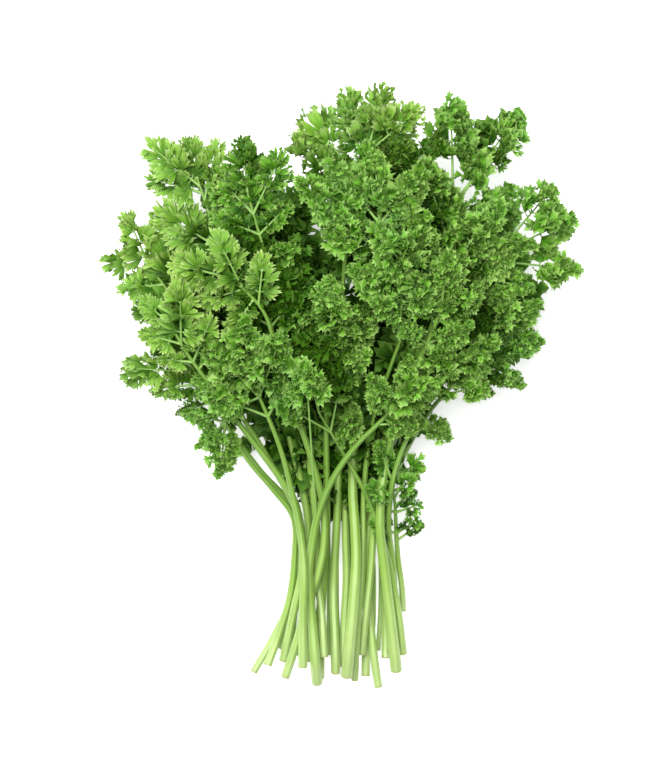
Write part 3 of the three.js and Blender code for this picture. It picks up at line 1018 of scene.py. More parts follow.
class Socket:
    """A value in a material's graph, on which Python's operators work.

    Args:
        graph: The graph that it is in.
        link: The node socket that gives it.
    """

    def __init__(self, graph: "Graph", link: bpy.types.NodeSocket) -> None:
        """Wraps the socket."""
        self.graph = graph
        self.link = link

    def _math(self, operation: str, first: "Socket | float", second: "Socket | float") -> "Socket":
        """Adds one Math node."""
        return self.graph.node("ShaderNodeMath", {"operation": operation}, {0: first, 1: second})

    def __add__(self, other: "Socket | float") -> "Socket":
        """Returns the sum."""
        return self._math("ADD", self, other)

    def __sub__(self, other: "Socket | float") -> "Socket":
        """Returns the difference."""
        return self._math("SUBTRACT", self, other)

    def __rsub__(self, other: float) -> "Socket":
        """Returns a number less this value."""
        return self._math("SUBTRACT", other, self)

    def __mul__(self, other: "Socket | float") -> "Socket":
        """Returns the product."""
        return self._math("MULTIPLY", self, other)

    __radd__ = __add__
    __rmul__ = __mul__

    def sine(self) -> "Socket":
        """Returns the sine of this value."""
        return self._math("SINE", self, 0.0)

    def clamped(self) -> "Socket":
        """Returns this value kept between 0 and 1."""
        return self.graph.node("ShaderNodeClamp", {}, {0: self})

    def between(self, low: float, high: float) -> "Socket":
        """Returns 0 up to the low value, 1 from the high one, and a smooth step between them."""
        values = {0: self, 1: low, 2: high, 3: 0.0, 4: 1.0}
        return self.graph.node("ShaderNodeMapRange", {"interpolation_type": "SMOOTHSTEP"}, values)


class Graph:
    """The node graph of one material.

    Args:
        name: The material's name.
    """

    def __init__(self, name: str) -> None:
        """Starts an empty material."""
        self.material = bpy.data.materials.new(name)
        self.material.use_nodes = True
        self.nodes = self.material.node_tree.nodes
        self.links = self.material.node_tree.links
        self.nodes.clear()

    def node(
        self, kind: str, settings: dict, values: dict, output: int | str = 0
    ) -> "Socket | None":
        """Adds a node.

        Args:
            kind: The node's type.
            settings: Its own settings; stops are a ramp's places and colours.
            values: What each of its inputs is given: a number, a colour or a socket.
            output: Which of its outputs is wanted.

        Returns:
            The output asked for, or None for a node that has no outputs.
        """
        made = self.nodes.new(kind)
        for key, setting in settings.items():
            if key == "stops":
                self._fill(made.color_ramp, setting)
            else:
                setattr(made, key, setting)
        for key, value in values.items():
            if isinstance(value, Socket):
                self.links.new(value.link, made.inputs[key])
            else:
                made.inputs[key].default_value = value
        return Socket(self, made.outputs[output]) if made.outputs else None

    @staticmethod
    def _fill(ramp: bpy.types.ColorRamp, stops: tuple) -> None:
        """Gives a colour ramp its stops.

        Args:
            ramp: The ramp.
            stops: The place and the colour of each.
        """
        while len(ramp.elements) < len(stops):
            ramp.elements.new(1.0)
        for element, (place, colour) in zip(ramp.elements, stops):
            element.position = place
            element.color = (*colour, 1.0)

    def mix(
        self,
        share: Socket | float,
        first: Socket | tuple,
        second: Socket | tuple,
        how: str = "MIX",
    ) -> Socket:
        """Mixes two colours.

        Args:
            share: How much of the second one there is.
            first: A colour, or a socket that gives one.
            second: The other.
            how: The kind of mix.

        Returns:
            The mixed colour.
        """
        settings = {"data_type": "RGBA", "blend_type": how}
        first = first if isinstance(first, Socket) else (*first, 1.0)
        second = second if isinstance(second, Socket) else (*second, 1.0)
        return self.node("ShaderNodeMix", settings, {0: share, 6: first, 7: second}, 2)

    def tint(self, colour: Socket, tint: tuple[float, float, float]) -> Socket:
        """Returns a colour multiplied by a tint."""
        return self.mix(1.0, colour, tint, "MULTIPLY")

    def attribute(self, name: str) -> Socket:
        """Returns one of the piece's own attributes."""
        return self.node("ShaderNodeAttribute", {"attribute_name": name}, {}, "Fac")

    def noise(self, scale: float) -> Socket:
        """Returns noise over the piece, at so many lumps to the metre."""
        place = self.node("ShaderNodeTexCoord", {}, {}, "Object")
        return self.node("ShaderNodeTexNoise", {}, {"Vector": place, "Scale": scale, "Detail": 2.0})

    def streaks(self, across: Socket, along: Socket) -> Socket:
        """Returns noise over two values of the piece's own map."""
        place = self.node("ShaderNodeCombineXYZ", {}, {0: across, 1: along, 2: 0.0})
        return self.node("ShaderNodeTexNoise", {}, {"Vector": place, "Scale": 1.0, "Detail": 2.0})

    def uv(self) -> tuple[Socket, Socket]:
        """Reads the piece's own UV map.

        Returns:
            Its two coordinates.
        """
        place = self.node("ShaderNodeUVMap", {"uv_map": UV_NAME}, {})
        parts = self.node("ShaderNodeSeparateXYZ", {}, {0: place})
        return parts, Socket(self, parts.link.node.outputs[1])

    def bump(self, strength: float, height: Socket) -> Socket:
        """Returns the normal of a surface that a height roughens."""
        values = {"Strength": strength, "Distance": BUMP_DEPTH, "Height": height}
        return self.node("ShaderNodeBump", {}, values)

    def skin(self, values: dict) -> Socket:
        """Returns a Principled shader with these values."""
        return self.node("ShaderNodeBsdfPrincipled", {}, values)

    def output(self, shader: Socket) -> bpy.types.Material:
        """Joins a shader to the material's output and returns the material."""
        self.node("ShaderNodeOutputMaterial", {}, {"Surface": shader})
        return self.material


UV_NAME = "UVMap"
FRILL_UV = 0.45  # from what share of the way out a frill takes its colours
BUMP_DEPTH = 0.0004

# The tone of the leaves' green, with painted light and shade in it: the attribute that holds it,
# and what it multiplies their colour by where they are darkest (painted shade) and palest (painted
# light).
TONE_AND_SHADE_NAME = "tone"
DARK_AND_SHADED_TINT = (0.36, 0.48, 0.15)
PALE_AND_LIT_TINT = (1.72, 1.46, 1.8)
COOLER = (0.90, 0.99, 1.04)  # the green of the patches that lean to blue
TONE_MIDDLE = 0.6  # how far out a leaflet has its frond's tone
PAINTED_SHADE_OUT = 1.3  # how much lighter a leaflet is towards its margin: painted shade at its base
PAINTED_LIGHT_UP = 2.6  # and where it stands up: painted light on what rises towards the lamp
TONE_START = 0.35  # how far along a pinna leaflets have its tone
PAINTED_SHADE_ALONG = 3.2  # and how much lighter they are towards its tip: painted shade near the rachis, under other tips
TONE_PINNA = 0.55  # how far the tones of pinnae differ by chance
TONE_LEAFLET = 0.35  # and those of leaflets
PINNA_TONE = 0.5  # how far a pinna that the plan calls light or dim differs, partly as painted light and shade

# How much leaves are painted lighter above the heap's level and darker below it, as painted light
# on its tops and painted shade in its gaps; the height at which they are neither, and the depth
# over which it comes on.
RELIEF_PAINTED_SHADE = 1.7
RELIEF_BASE = 1.5
RELIEF_DEPTH = 8.0


def tinted(colour: tuple[float, ...], tint: tuple[float, ...]) -> tuple[float, ...]:
    """Returns a colour multiplied by a tint."""
    return tuple(part * share for part, share in zip(colour, tint))


@dataclass(frozen=True)
class LeafFinish:
    """The satin green of the leaflets: pale ribs, partly painted bright tips, painted light and
    shade.

    Args:
        name: The finish's name.
        deep: Its colour at a leaflet's base, its own darker green and painted shade where leaflets
            overlap.
        body: Its colour over most of a leaflet.
        tip: Its colour at the crisped margin, its own paler green and a painted highlight on the
            tips.
        through: How much light comes through a leaf.
        patches: How many broad patches of cooler green there are to the metre.
        mottles: How many lumps of its mottling there are to the metre.
        grains: How many grains its skin has to the metre.
        ribs: How many ribs fan out over a leaflet.
    """

    name: str
    deep: tuple[float, float, float]
    body: tuple[float, float, float]
    tip: tuple[float, float, float]
    through: float = 0.35
    patches: float = 30.0
    mottles: float = 420.0
    grains: float = 1900.0
    ribs: float = 24.0

    def material(self) -> bpy.types.Material:
        """Makes the finish.

        Returns:
            The material.
        """
        graph = Graph(self.name)
        across, out = graph.uv()
        tone = graph.attribute(TONE_AND_SHADE_NAME)
        mottle = graph.noise(self.mottles)
        broad = graph.noise(self.patches)
        fine = graph.noise(self.grains)
        # Partly painted shade and highlight: darker at the leaflet's base, brighter at its crisped
        # margin.
        green = graph.mix(out.between(0.1, 0.75), self.deep, self.body)
        green = graph.mix(out.between(0.78, 1.0) * 0.7, green, self.tip)
        cool = graph.tint(green, COOLER)
        green = graph.mix(broad.between(0.42, 0.66), green, cool)
        # Painted light and shade: a shaded and a lit copy of the green, mixed by the tone
        # attribute, which holds random tone as well.
        dark = graph.tint(green, DARK_AND_SHADED_TINT)
        pale = graph.tint(green, PALE_AND_LIT_TINT)
        lightness = (tone * 0.5 + 0.5).clamped()
        green = graph.mix(lightness, dark, pale)
        green = graph.mix(((mottle - 0.5) * 0.9 + 0.15).clamped(), green, self.deep)
        ribs = graph.streaks(across * self.ribs, out * 2.0).between(0.5, 0.75)
        ribs = ribs * (1.0 - out.between(0.6, 1.0)) * 0.4
        green = graph.mix(ribs, green, self.tip)
        rough = fine * 0.22 + 0.38
        bump = graph.bump(0.25, ribs * 0.6 + fine * 0.4)
        skin = graph.skin(
            {"Base Color": green, "Roughness": rough, "Normal": bump, "Specular IOR Level": 0.22}
        )
        # Painted light and shade in the light let through: a shaded and a lit translucent green.
        dim, lit = (
            graph.node("ShaderNodeBsdfTranslucent", {}, {"Color": (*tinted(self.body, tint), 1.0)})
            for tint in (DARK_AND_SHADED_TINT, PALE_AND_LIT_TINT)
        )
        glow = graph.node("ShaderNodeMixShader", {}, {0: lightness, 1: dim, 2: lit})
        mixed = graph.node("ShaderNodeMixShader", {}, {0: self.through, 1: skin, 2: glow})
        return graph.output(mixed)


@dataclass(frozen=True)
class StemFinish:
    """The smooth, ribbed stem: green in the head and paler towards its cut end.

    Args:
        name: The finish's name.
        scar: Its colour on the cut itself.
        cut: Its colour at the cut end.
        middle: Its colour half way.
        head: Its colour among the leaves.
        places: How far along the stem each of these colours is.
        ridges: How many ridges run along it.
        ridge: How strongly they show.
    """

    name: str
    scar: tuple[float, float, float]
    cut: tuple[float, float, float]
    middle: tuple[float, float, float]
    head: tuple[float, float, float]
    places: tuple[float, float, float, float] = (0.0, 0.006, 0.28, 0.62)
    ridges: int = 7
    ridge: float = 0.5

    def material(self) -> bpy.types.Material:
        """Makes the finish.

        Returns:
            The material.
        """
        graph = Graph(self.name)
        around, along = graph.uv()
        streaks = graph.streaks(around * 11.0, along * 2.5)
        blush = graph.noise(60.0)
        colours = (self.scar, self.cut, self.middle, self.head)
        stops = (*zip(self.places, colours), (1.0, self.head))
        green = graph.node("ShaderNodeValToRGB", {"stops": stops}, {0: along})
        ridges = (around * (2 * math.pi * self.ridges)).sine() * 0.5 + 0.5
        groove = graph.tint(green, (0.5, 0.68, 0.3))
        pale = graph.tint(green, (1.3, 1.18, 1.5))
        green = graph.mix((ridges * 0.3 + (streaks - 0.45) * 1.3).clamped(), green, groove)
        green = graph.mix(((blush - 0.5) * 1.6).clamped(), green, pale)
        bump = graph.bump(0.6, ridges * self.ridge + streaks * 0.3)
        skin = graph.skin(
            {"Base Color": green, "Roughness": 0.45, "Normal": bump, "Subsurface Weight": 0.12}
        )
        skin.link.node.inputs["Subsurface Radius"].default_value = (0.002, 0.003, 0.001)
        return graph.output(skin)


def only(*objects: bpy.types.Object) -> None:
    """Selects these objects and no others, the last one active.

    Args:
        objects: The objects.
    """
    bpy.ops.object.select_all(action="DESELECT")
    for thing in objects:
        thing.select_set(True)
        bpy.context.view_layer.objects.active = thing


def corners_of(mesh: bpy.types.Mesh) -> np.ndarray:
    """Reads where a mesh's corners are.

    Args:
        mesh: The mesh.

    Returns:
        A row for each corner.
    """
    flat = np.empty(len(mesh.vertices) * 3)
    mesh.vertices.foreach_get("co", flat)
    return flat.reshape(-1, 3)


def move_corners(mesh: bpy.types.Mesh, places: np.ndarray) -> None:
    """Moves a mesh's vertices."""
    mesh.vertices.foreach_set("co", np.ascontiguousarray(places, dtype=np.float32).ravel())
    mesh.update()


# The outline of a fan: how long its middle is, less what is lost towards its sides.
FAN_SIDES = 0.72
FAN_MIDDLE = 0.28
FAN_TURN = 0.9

# The frills round a leaflet's margin: how far their places, pitch and heading differ by chance.
MARGIN_TURN_SWING = 0.15
MARGIN_OUT_SWING = 0.25
MARGIN_PITCH = (-0.4, 1.2)
HEADING_SWING = 0.5
ROLL_SWING = 0.8
SIZE_SWING = 0.25
CUP_SHARE = 0.6

# The frills on a leaflet's face: their share of the fan's spread, how far out they are and how
# steeply they stand.
FACE_SPREAD = 0.8
FACE_OUT = (0.15, 0.6)
FACE_PITCH = (0.8, 1.5)

# A leaflet's teeth and lobes, in shares of what its habit gives.
NOTCH = 0.35  # how far the notches between teeth go in
TOOTH_SWING = 0.5
TURN_SWING = 0.2
CROWDING = 0.5  # how far the middles of lobes are drawn together
CUT_WIDTH = 0.6
BULGE_POWER = 0.8
SHOULDER = 0.25  # how much shorter a lobe is at its sides
LOBE_SWING = 0.12
LOBE_TILT = (-0.8, 1.2)
DRIFT_KNOTS = 6
DRIFT = 1.2
RISE_POWER = 1.6
TOOTH_POWER = 3
CUP_POWER = 2.2
CUP_LOSS = 0.25  # how much shorter a leaflet is for its cup
TILT_LOSS = 0.3  # and for its lobes' tilt


@dataclass
class LeafletPattern:
    """One crisped leaflet, a fan one unit long that the fronds carry copies of.

    Args:
        habit: How it is crisped.
        seed: Which of the habit's shapes it is.
        rays: Where its faces meet, from the base to the margin.
        thickness: How thick it is away from its margin.
        base: Half its width at its base.
    """

    habit: Habit
    seed: int
    rays: tuple[float, ...]
    thickness: float = 0.03
    base: float = 0.05
    corners: np.ndarray = field(init=False, repr=False)
    mesh: bpy.types.Mesh = field(init=False, repr=False)

    def model(self, frills: tuple["LeafletPattern", ...] = ()) -> None:
        """Models the leaflet: a toothed fan, thickened and closed all round, with its frills.

        Args:
            frills: The patterns that its frills are copies of.
        """
        blade = self.fan()
        if frills and self.habit in FRILLINGS:
            only(*self.frilled(frills), blade)
            bpy.ops.object.join()
        self.mesh = blade.data
        self.corners = corners_of(blade.data)
        bpy.data.objects.remove(blade)

    def fan(self) -> bpy.types.Object:
        """Models the fan alone: a grid with a tooth to each column, shaped and thickened.

        Returns:
            The fan.
        """
        only()
        columns = math.prod(CRISPINGS[self.habit].lobes)
        rows = len(self.rays) - 1
        bpy.ops.mesh.primitive_grid_add(x_subdivisions=columns, y_subdivisions=rows, size=1)
        blade = bpy.context.object
        blade.name = f"{self.habit.value}_leaflet_{self.seed}"
        corners = blade.data.vertices
        for edge in blade.data.edges:
            edge.select = all(corners[v].co.y > 0.5 - EDGE_WITHIN for v in edge.vertices)
        for face in blade.data.polygons:
            face.select = False
        bpy.ops.object.mode_set(mode="EDIT")
        bpy.ops.mesh.select_mode(type="EDGE")
        bpy.ops.mesh.subdivide(number_cuts=1)
        bpy.ops.object.mode_set(mode="OBJECT")
        grid = corners_of(blade.data)[:, :2] + 0.5
        move_corners(blade.data, self.crisp(grid[:, 0], grid[:, 1]))
        rim = ((grid < EDGE_WITHIN) | (grid > 1 - EDGE_WITHIN)).any(axis=1)
        inside = blade.vertex_groups.new(name="inside")
        inside.add([int(i) for i in np.flatnonzero(~rim)], 1.0, "REPLACE")
        wall = blade.modifiers.new("wall", "SOLIDIFY")
        wall.thickness = self.thickness
        wall.offset = 0.0
        wall.use_rim = False
        wall.vertex_group = inside.name
        wall.thickness_vertex_group = 0.0
        bpy.ops.object.modifier_apply(modifier=wall.name)
        bpy.ops.object.mode_set(mode="EDIT")
        bpy.ops.mesh.select_all(action="SELECT")
        bpy.ops.mesh.remove_doubles(threshold=MERGED_WITHIN)
        bpy.ops.object.mode_set(mode="OBJECT")
        bpy.ops.object.shade_smooth_by_angle(angle=LEAF_CREASE)
        blade.vertex_groups.clear()
        blade.data.attributes.new(TONE_AND_SHADE_NAME, "FLOAT", "POINT")
        return blade

    def frilled(self, frills: tuple["LeafletPattern", ...]) -> list[bpy.types.Object]:
        """Models the leaflet's frills, each where it stands on the fan.

        Args:
            frills: The patterns that they are copies of.

        Returns:
            The frills.
        """
        form = CRISPINGS[self.habit]
        frilling = FRILLINGS[self.habit]
        habit_seed = HABIT_SEED * list(Habit).index(self.habit)
        rng = np.random.default_rng(FRILL_SEED + habit_seed + self.seed)
        made = []
        for count in range(frilling.rim + frilling.face):
            if count < frilling.rim:
                turn = form.spread * (2 * (count + 0.5) / frilling.rim - 1)
                turn += swing(rng, MARGIN_TURN_SWING)
                out = frilling.root * (1 + swing(rng, MARGIN_OUT_SWING))
                pitch = frilling.pitch * rng.uniform(*MARGIN_PITCH)
            else:
                turn = swing(rng, form.spread * FACE_SPREAD)
                out = rng.uniform(*FACE_OUT)
                pitch = rng.uniform(*FACE_PITCH)
            out *= FAN_SIDES + FAN_MIDDLE * math.cos(turn * FAN_TURN)
            heading = turn + swing(rng, HEADING_SWING)
            ahead = np.array([math.sin(heading), math.cos(heading), 0.0])
            across = np.array([ahead[1], -ahead[0], 0.0])
            ahead = turned(ahead, across, pitch)
            across = turned(across, ahead, swing(rng, ROLL_SWING))
            axes = np.array([across, ahead, np.cross(across, ahead)])
            rise = form.cup * out * CUP_SHARE
            root = out * np.array([math.sin(turn) * form.narrow, math.cos(turn), rise])
            frill = frills[int(rng.integers(len(frills)))]
            mesh = frill.mesh.copy()
            size = frilling.size * (1 + swing(rng, SIZE_SWING))
            move_corners(mesh, root + (frill.corners * size) @ axes)
            lift_uv(mesh, FRILL_UV)
            thing = bpy.data.objects.new("frill", mesh)
            bpy.context.scene.collection.objects.link(thing)
            made.append(thing)
        return made

    def crisp(self, across: np.ndarray, out: np.ndarray) -> np.ndarray:
        """Works out where a flat grid's corners go on the crisped fan.

        Args:
            across: Each corner's share of the way round the fan.
            out: Each corner's share of the way from the base to the margin.

        Returns:
            A row for each corner.
        """
        form = CRISPINGS[self.habit]
        rng = np.random.default_rng(HABIT_SEED * (1 + list(Habit).index(self.habit)) + self.seed)
        major, minor, steps = form.lobes
        lobes = major * minor
        arc = lobes * steps
        reach = np.interp(out, np.linspace(0, 1, len(self.rays)), self.rays)
        half_steps = np.rint(across * arc * 2).astype(int)
        stand = np.where(half_steps % 2 == 1, form.teeth, -NOTCH * form.teeth)
        stand = stand * (1 + TOOTH_SWING * rng.uniform(-1, 1, 2 * arc + 1))[half_steps]
        turn = (rng.uniform(-1, 1, 2 * arc + 1) * form.jag)[half_steps]
        small = np.minimum((across * major * minor).astype(int), lobes - 1)
        within = across * major * minor - small
        drawn = CROWDING * np.sin(2 * math.pi * within) / (2 * math.pi)
        angle = (2 * ((small + within - drawn) / lobes) - 1) * form.spread + swing(rng, TURN_SWING)
        size = FAN_SIDES + FAN_MIDDLE * np.cos(angle * FAN_TURN)
        tilt = np.zeros_like(across)
        inner = (across > EDGE_WITHIN) & (across < 1 - EDGE_WITHIN)
        for count, cut, lean in zip((major, lobes), form.cuts, form.tilts):
            lobe = np.minimum((across * count).astype(int), count - 1)
            within = across * count - lobe
            edge = np.minimum(within, 1 - within) * arc / count
            gap = np.where(inner, np.exp(-((edge / CUT_WIDTH) ** 2)), 0.0)
            bulge = np.sin(math.pi * np.clip(within, 0, 1)) ** BULGE_POWER
            size = size * (1 - cut * gap) * (1 - SHOULDER * cut * (1 - bulge))
            size = size * (1 + LOBE_SWING * bulge * rng.uniform(-1, 1, count)[lobe])
            tilt = tilt + lean * rng.uniform(*LOBE_TILT, count)[lobe] * bulge
        tilt = tilt * reach**RISE_POWER
        radius = form.reach * reach * size * (1 + stand * reach**TOOTH_POWER)
        knots = np.linspace(0, 1, DRIFT_KNOTS)
        drift = np.interp(across, knots, rng.uniform(-DRIFT, DRIFT, DRIFT_KNOTS))
        phase = form.waves * 2 * math.pi * (across - 0.5) + drift + rng.uniform(0, 2 * math.pi)
        lean = angle + form.fold * reach**2 * np.cos(phase)
        rise = form.height * reach**RISE_POWER * np.sin(phase) + turn * reach**TOOTH_POWER
        rise = rise + tilt + CUP_SHARE * form.cup * reach**CUP_POWER
        radius = radius * (1 - CUP_LOSS * form.cup * reach**2 - TILT_LOSS * np.abs(tilt))
        stub = self.base * (2 * across - 1) * (1 - reach)
        x = radius * np.sin(lean) * form.narrow + stub
        return np.column_stack([x, radius * np.cos(lean), rise])

    def copy(
        self, root: np.ndarray, axes: np.ndarray, length: float, bend: float, tone: float
    ) -> bpy.types.Object:
        """Copies the leaflet to where it grows, with a mesh of its own.

        Args:
            root: Where its base is, in millimetres.
            axes: Its side, its length and its upper face, as rows.
            length: Its length in millimetres.
            bend: How far it arches over.
            tone: How light its green is, with painted light and shade in it.

        Returns:
            The copy.
        """
        mesh = self.mesh.copy()
        shape = self.corners.copy()
        shape[:, 2] -= 0.5 * bend * shape[:, 1] ** 2
        places = root + (shape * length) @ axes
        # Painted shade and light: darker at the leaflet's base, lighter towards its margin and
        # where it stands up.
        tone_and_shade_values = tone + PAINTED_SHADE_OUT * (shape[:, 1] - TONE_MIDDLE) + PAINTED_LIGHT_UP * shape[:, 2]
        return grown(mesh, places, tone_and_shade_values)


def lift_uv(mesh: bpy.types.Mesh, start: float) -> None:
    """Squeezes a mesh's map towards the margin's end.

    Args:
        mesh: The mesh.
        start: The share of the way out at which its map now starts.
    """
    layer = mesh.uv_layers[0].data
    flat = np.empty(len(layer) * 2, dtype=np.float32)
    layer.foreach_get("uv", flat)
    flat[1::2] = start + (1 - start) * flat[1::2]
    layer.foreach_set("uv", flat)


def grown(mesh: bpy.types.Mesh, places: np.ndarray, tone: float | np.ndarray) -> bpy.types.Object:
    """Puts a mesh's corners in place above the floor.

    Args:
        mesh: The mesh.
        places: Where its corners go, in millimetres.
        tone: How light its green is, all over or at each corner, with painted light and shade in
            it.

    Returns:
        An object that holds the mesh.
    """
    places = places - np.array([0.0, CENTRE_Y, 0.0])
    places[:, 2] = np.maximum(places[:, 2], LOWEST_CORNER)
    move_corners(mesh, places * MM)
    tone_and_shade_values = np.broadcast_to(tone, len(places)).astype(np.float32)
    mesh.attributes[TONE_AND_SHADE_NAME].data.foreach_set("value", tone_and_shade_values)
    made = bpy.data.objects.new("piece", mesh)
    bpy.context.scene.collection.objects.link(made)
    return made


@dataclass
class TubePattern:
    """A closed tube one unit long and one in radius, which is bent along a line.

    Args:
        sides: Its sides.
        rings: Its lengths of wall.
        hollow: Whether its first end is dished, as a cut stem is.
        rim: How wide the two rings round the dish are.
        dish: How deep the dish is, as a share of the tube's length.
    """

    sides: int
    rings: int
    hollow: bool = False
    rim: tuple[float, float] = (0.28, 0.3)
    dish: float = 0.003
    corners: np.ndarray = field(init=False, repr=False)
    mesh: bpy.types.Mesh = field(init=False, repr=False)

    def model(self) -> None:
        """Models the tube: a grid rolled up, its seam merged and its ends filled."""
        only()
        sides, rings = self.sides, self.rings
        bpy.ops.mesh.primitive_grid_add(x_subdivisions=sides, y_subdivisions=rings, size=1)
        tube = bpy.context.object
        grid = corners_of(tube.data)
        turn = (grid[:, 0] + 0.5) * 2 * math.pi
        move_corners(tube.data, np.column_stack([np.cos(turn), np.sin(turn), grid[:, 1] + 0.5]))
        bpy.ops.object.mode_set(mode="EDIT")
        bpy.ops.mesh.select_all(action="SELECT")
        bpy.ops.mesh.remove_doubles(threshold=MERGED_WITHIN)
        bpy.ops.mesh.select_mode(type="VERT")
        bpy.ops.mesh.select_all(action="DESELECT")
        bpy.ops.mesh.select_non_manifold()
        bpy.ops.mesh.fill_holes(sides=0)
        bpy.ops.mesh.select_all(action="SELECT")
        bpy.ops.mesh.normals_make_consistent(inside=False)
        if self.hollow:
            bpy.ops.mesh.select_all(action="DESELECT")
            bpy.ops.object.mode_set(mode="OBJECT")
            for face in tube.data.polygons:
                face.select = face.normal.z < FACING_DOWN and face.center.z < EDGE_WITHIN
            bpy.ops.object.mode_set(mode="EDIT")
            bpy.ops.mesh.select_mode(type="FACE")
            for width in self.rim:
                bpy.ops.mesh.inset(thickness=width)
            bpy.ops.transform.translate(value=(0, 0, self.dish))
        bpy.ops.object.mode_set(mode="OBJECT")
        bpy.ops.object.shade_smooth_by_angle(angle=TUBE_CREASE)
        tube.data.attributes.new(TONE_AND_SHADE_NAME, "FLOAT", "POINT")
        self.mesh = tube.data
        self.corners = corners_of(tube.data)
        bpy.data.objects.remove(tube)

    def along(self, line: np.ndarray, radii: np.ndarray) -> bpy.types.Object:
        """Copies the tube and bends it along a line, with a mesh of its own.

        Args:
            line: The line's points, in millimetres.
            radii: The tube's radius at each of them.

        Returns:
            The copy.
        """
        steps = np.linalg.norm(np.diff(line, axis=0), axis=1)
        marks = np.concatenate([[0.0], np.cumsum(steps)]) / steps.sum()
        share = self.corners[:, 2]
        centre = np.column_stack([np.interp(share, marks, line[:, k]) for k in range(3)])
        slopes = np.gradient(line, marks, axis=0)
        ahead = np.column_stack([np.interp(share, marks, slopes[:, k]) for k in range(3)])
        ahead /= np.linalg.norm(ahead, axis=1)[:, None]
        side = np.cross(UPWARDS, ahead)
        side /= np.maximum(np.linalg.norm(side, axis=1), TINY)[:, None]
        rise = np.cross(ahead, side)
        radius = np.interp(share, marks, radii)[:, None]
        places = centre + (side * self.corners[:, :1] + rise * self.corners[:, 1:2]) * radius
        return grown(self.mesh.copy(), places, 0.0)


@dataclass
class Nursery:
    """The patterns that every frond is made from.

    Args:
        variants: How many shapes each habit has.
        lobed_rays: Where the faces of a lobed leaflet meet, from its base to its margin.
        plain_rays: The same for a leaflet that frills or others hide.
        frill_rays: The same for a frill.
        frill_thickness: How thick a frill is, as a share of its length.
        frill_base: Half a frill's width at its base.
        leaflets: The leaflets of each habit.
        rib: What ribs are made from.
        twig: What carries a leaflet.
    """

    variants: int = 10
    lobed_rays: tuple[float, ...] = (0.0, 0.4, 0.72, 1.0)
    plain_rays: tuple[float, ...] = (0.0, 0.5, 1.0)
    frill_rays: tuple[float, ...] = (0.0, 0.55, 1.0)
    frill_thickness: float = 0.06
    frill_base: float = 0.1
    leaflets: dict[Habit, list[LeafletPattern]] = field(default_factory=dict)
    rib: TubePattern = field(default_factory=lambda: TubePattern(6, 8))
    twig: TubePattern = field(default_factory=lambda: TubePattern(4, 1))

    def model(self, leaf: bpy.types.Material, rib: bpy.types.Material) -> None:
        """Models every pattern once and gives it its finish.

        Args:
            leaf: The leaflets' finish, until a frond gives them its own.
            rib: The finish of ribs and twigs.
        """
        frills = tuple(
            LeafletPattern(Habit.FRILL, n, self.frill_rays, self.frill_thickness, self.frill_base)
            for n in range(self.variants)
        )
        for frill in frills:
            frill.model()
        for habit in (Habit.FLAT, Habit.LOOSE, Habit.CURLY, Habit.MOSSY, Habit.PLAIN):
            lobed = habit in (Habit.FLAT, Habit.LOOSE)
            rays = self.lobed_rays if lobed else self.plain_rays
            self.leaflets[habit] = [LeafletPattern(habit, n, rays) for n in range(self.variants)]
            for pattern in self.leaflets[habit]:
                pattern.model(frills)
                pattern.mesh.materials.clear()
                pattern.mesh.materials.append(leaf)
            faces = len(self.leaflets[habit][0].mesh.polygons)
            LOG.info("%s leaflet: %d faces", habit.value, faces)
        for tube in (self.rib, self.twig):
            tube.model()
            tube.mesh.materials.append(rib)


@dataclass(frozen=True)
class Spread:
    """How the leaflets of one habit sit on a pinna's rib.

    Args:
        pairs: Where each pair leaves the rib, in shares of the blade, how long its leaflets are,
            and the angle at which they stand off, in radians.
        end: Where the last leaflet leaves the rib and how long it is.
        upper: The same for leaflets that stand up from the rib.
        lively: How far leaflets are turned out of the pinna's plane, in radians.
    """

    pairs: tuple[tuple[float, float, float], ...]
    end: tuple[float, float]
    upper: tuple[tuple[float, float], ...]
    lively: float


BROAD_PAIRS = ((0.0, 0.42, 1.3), (0.28, 0.46, 1.05), (0.5, 0.36, 0.7))
FEW_PAIRS = ((0.0, 0.42, 1.25), (0.26, 0.44, 1.0), (0.5, 0.35, 0.75))
MANY_PAIRS = ((0.0, 0.4, 1.35), (0.2, 0.44, 1.15), (0.4, 0.4, 1.0), (0.56, 0.3, 0.8))
HIDDEN_PAIRS = ((0.0, 0.5, 1.25), (0.26, 0.52, 1.0), (0.5, 0.42, 0.75))
SPREADS = {
    Habit.FLAT: Spread(BROAD_PAIRS, (0.6, 0.38), ((0.2, 0.34),), 0.45),
    Habit.LOOSE: Spread(FEW_PAIRS, (0.62, 0.34), ((0.3, 0.34),), 0.4),
    Habit.CURLY: Spread(MANY_PAIRS, (0.66, 0.32), ((0.1, 0.3), (0.45, 0.32)), 0.5),
    Habit.MOSSY: Spread(MANY_PAIRS, (0.66, 0.32), ((0.08, 0.3), (0.36, 0.32), (0.6, 0.28)), 0.6),
}
HIDDEN_SPREAD = Spread(HIDDEN_PAIRS, (0.62, 0.4), ((0.15, 0.4), (0.45, 0.4)), 0.5)
FILLING_SPREAD = Spread(((0.0, 0.56, 1.2), (0.4, 0.52, 0.9)), (0.6, 0.5), ((0.2, 0.46),), 0.5)
SPARSE_SPREAD = Spread(((0.4, 0.36, 0.85),), (0.52, 0.5), (), 0.1)
STALKED_SPREAD = Spread(((0.34, 0.42, 1.25), (0.56, 0.34, 0.9)), (0.66, 0.32), ((0.5, 0.32),), 0.5)

# The leaflets: their size beside their habit's, and how far they differ by chance.
LEAFLET_SCALE = 0.95
LENGTH_SWING = 0.12
ANGLE_SWING = 0.18
LIFT_RANGE = (-0.4, 1)  # how far one is lifted, in shares of its habit's liveliness
ROLL_SHARE = 1.2
BEND_MOST = 0.5
BEND_RANGE = (-0.3, 1)
UPPER_ANGLE = 1.6  # the most that one on the upper side stands off to a side
UPPER_PITCH = 0.9  # and how steeply it stands

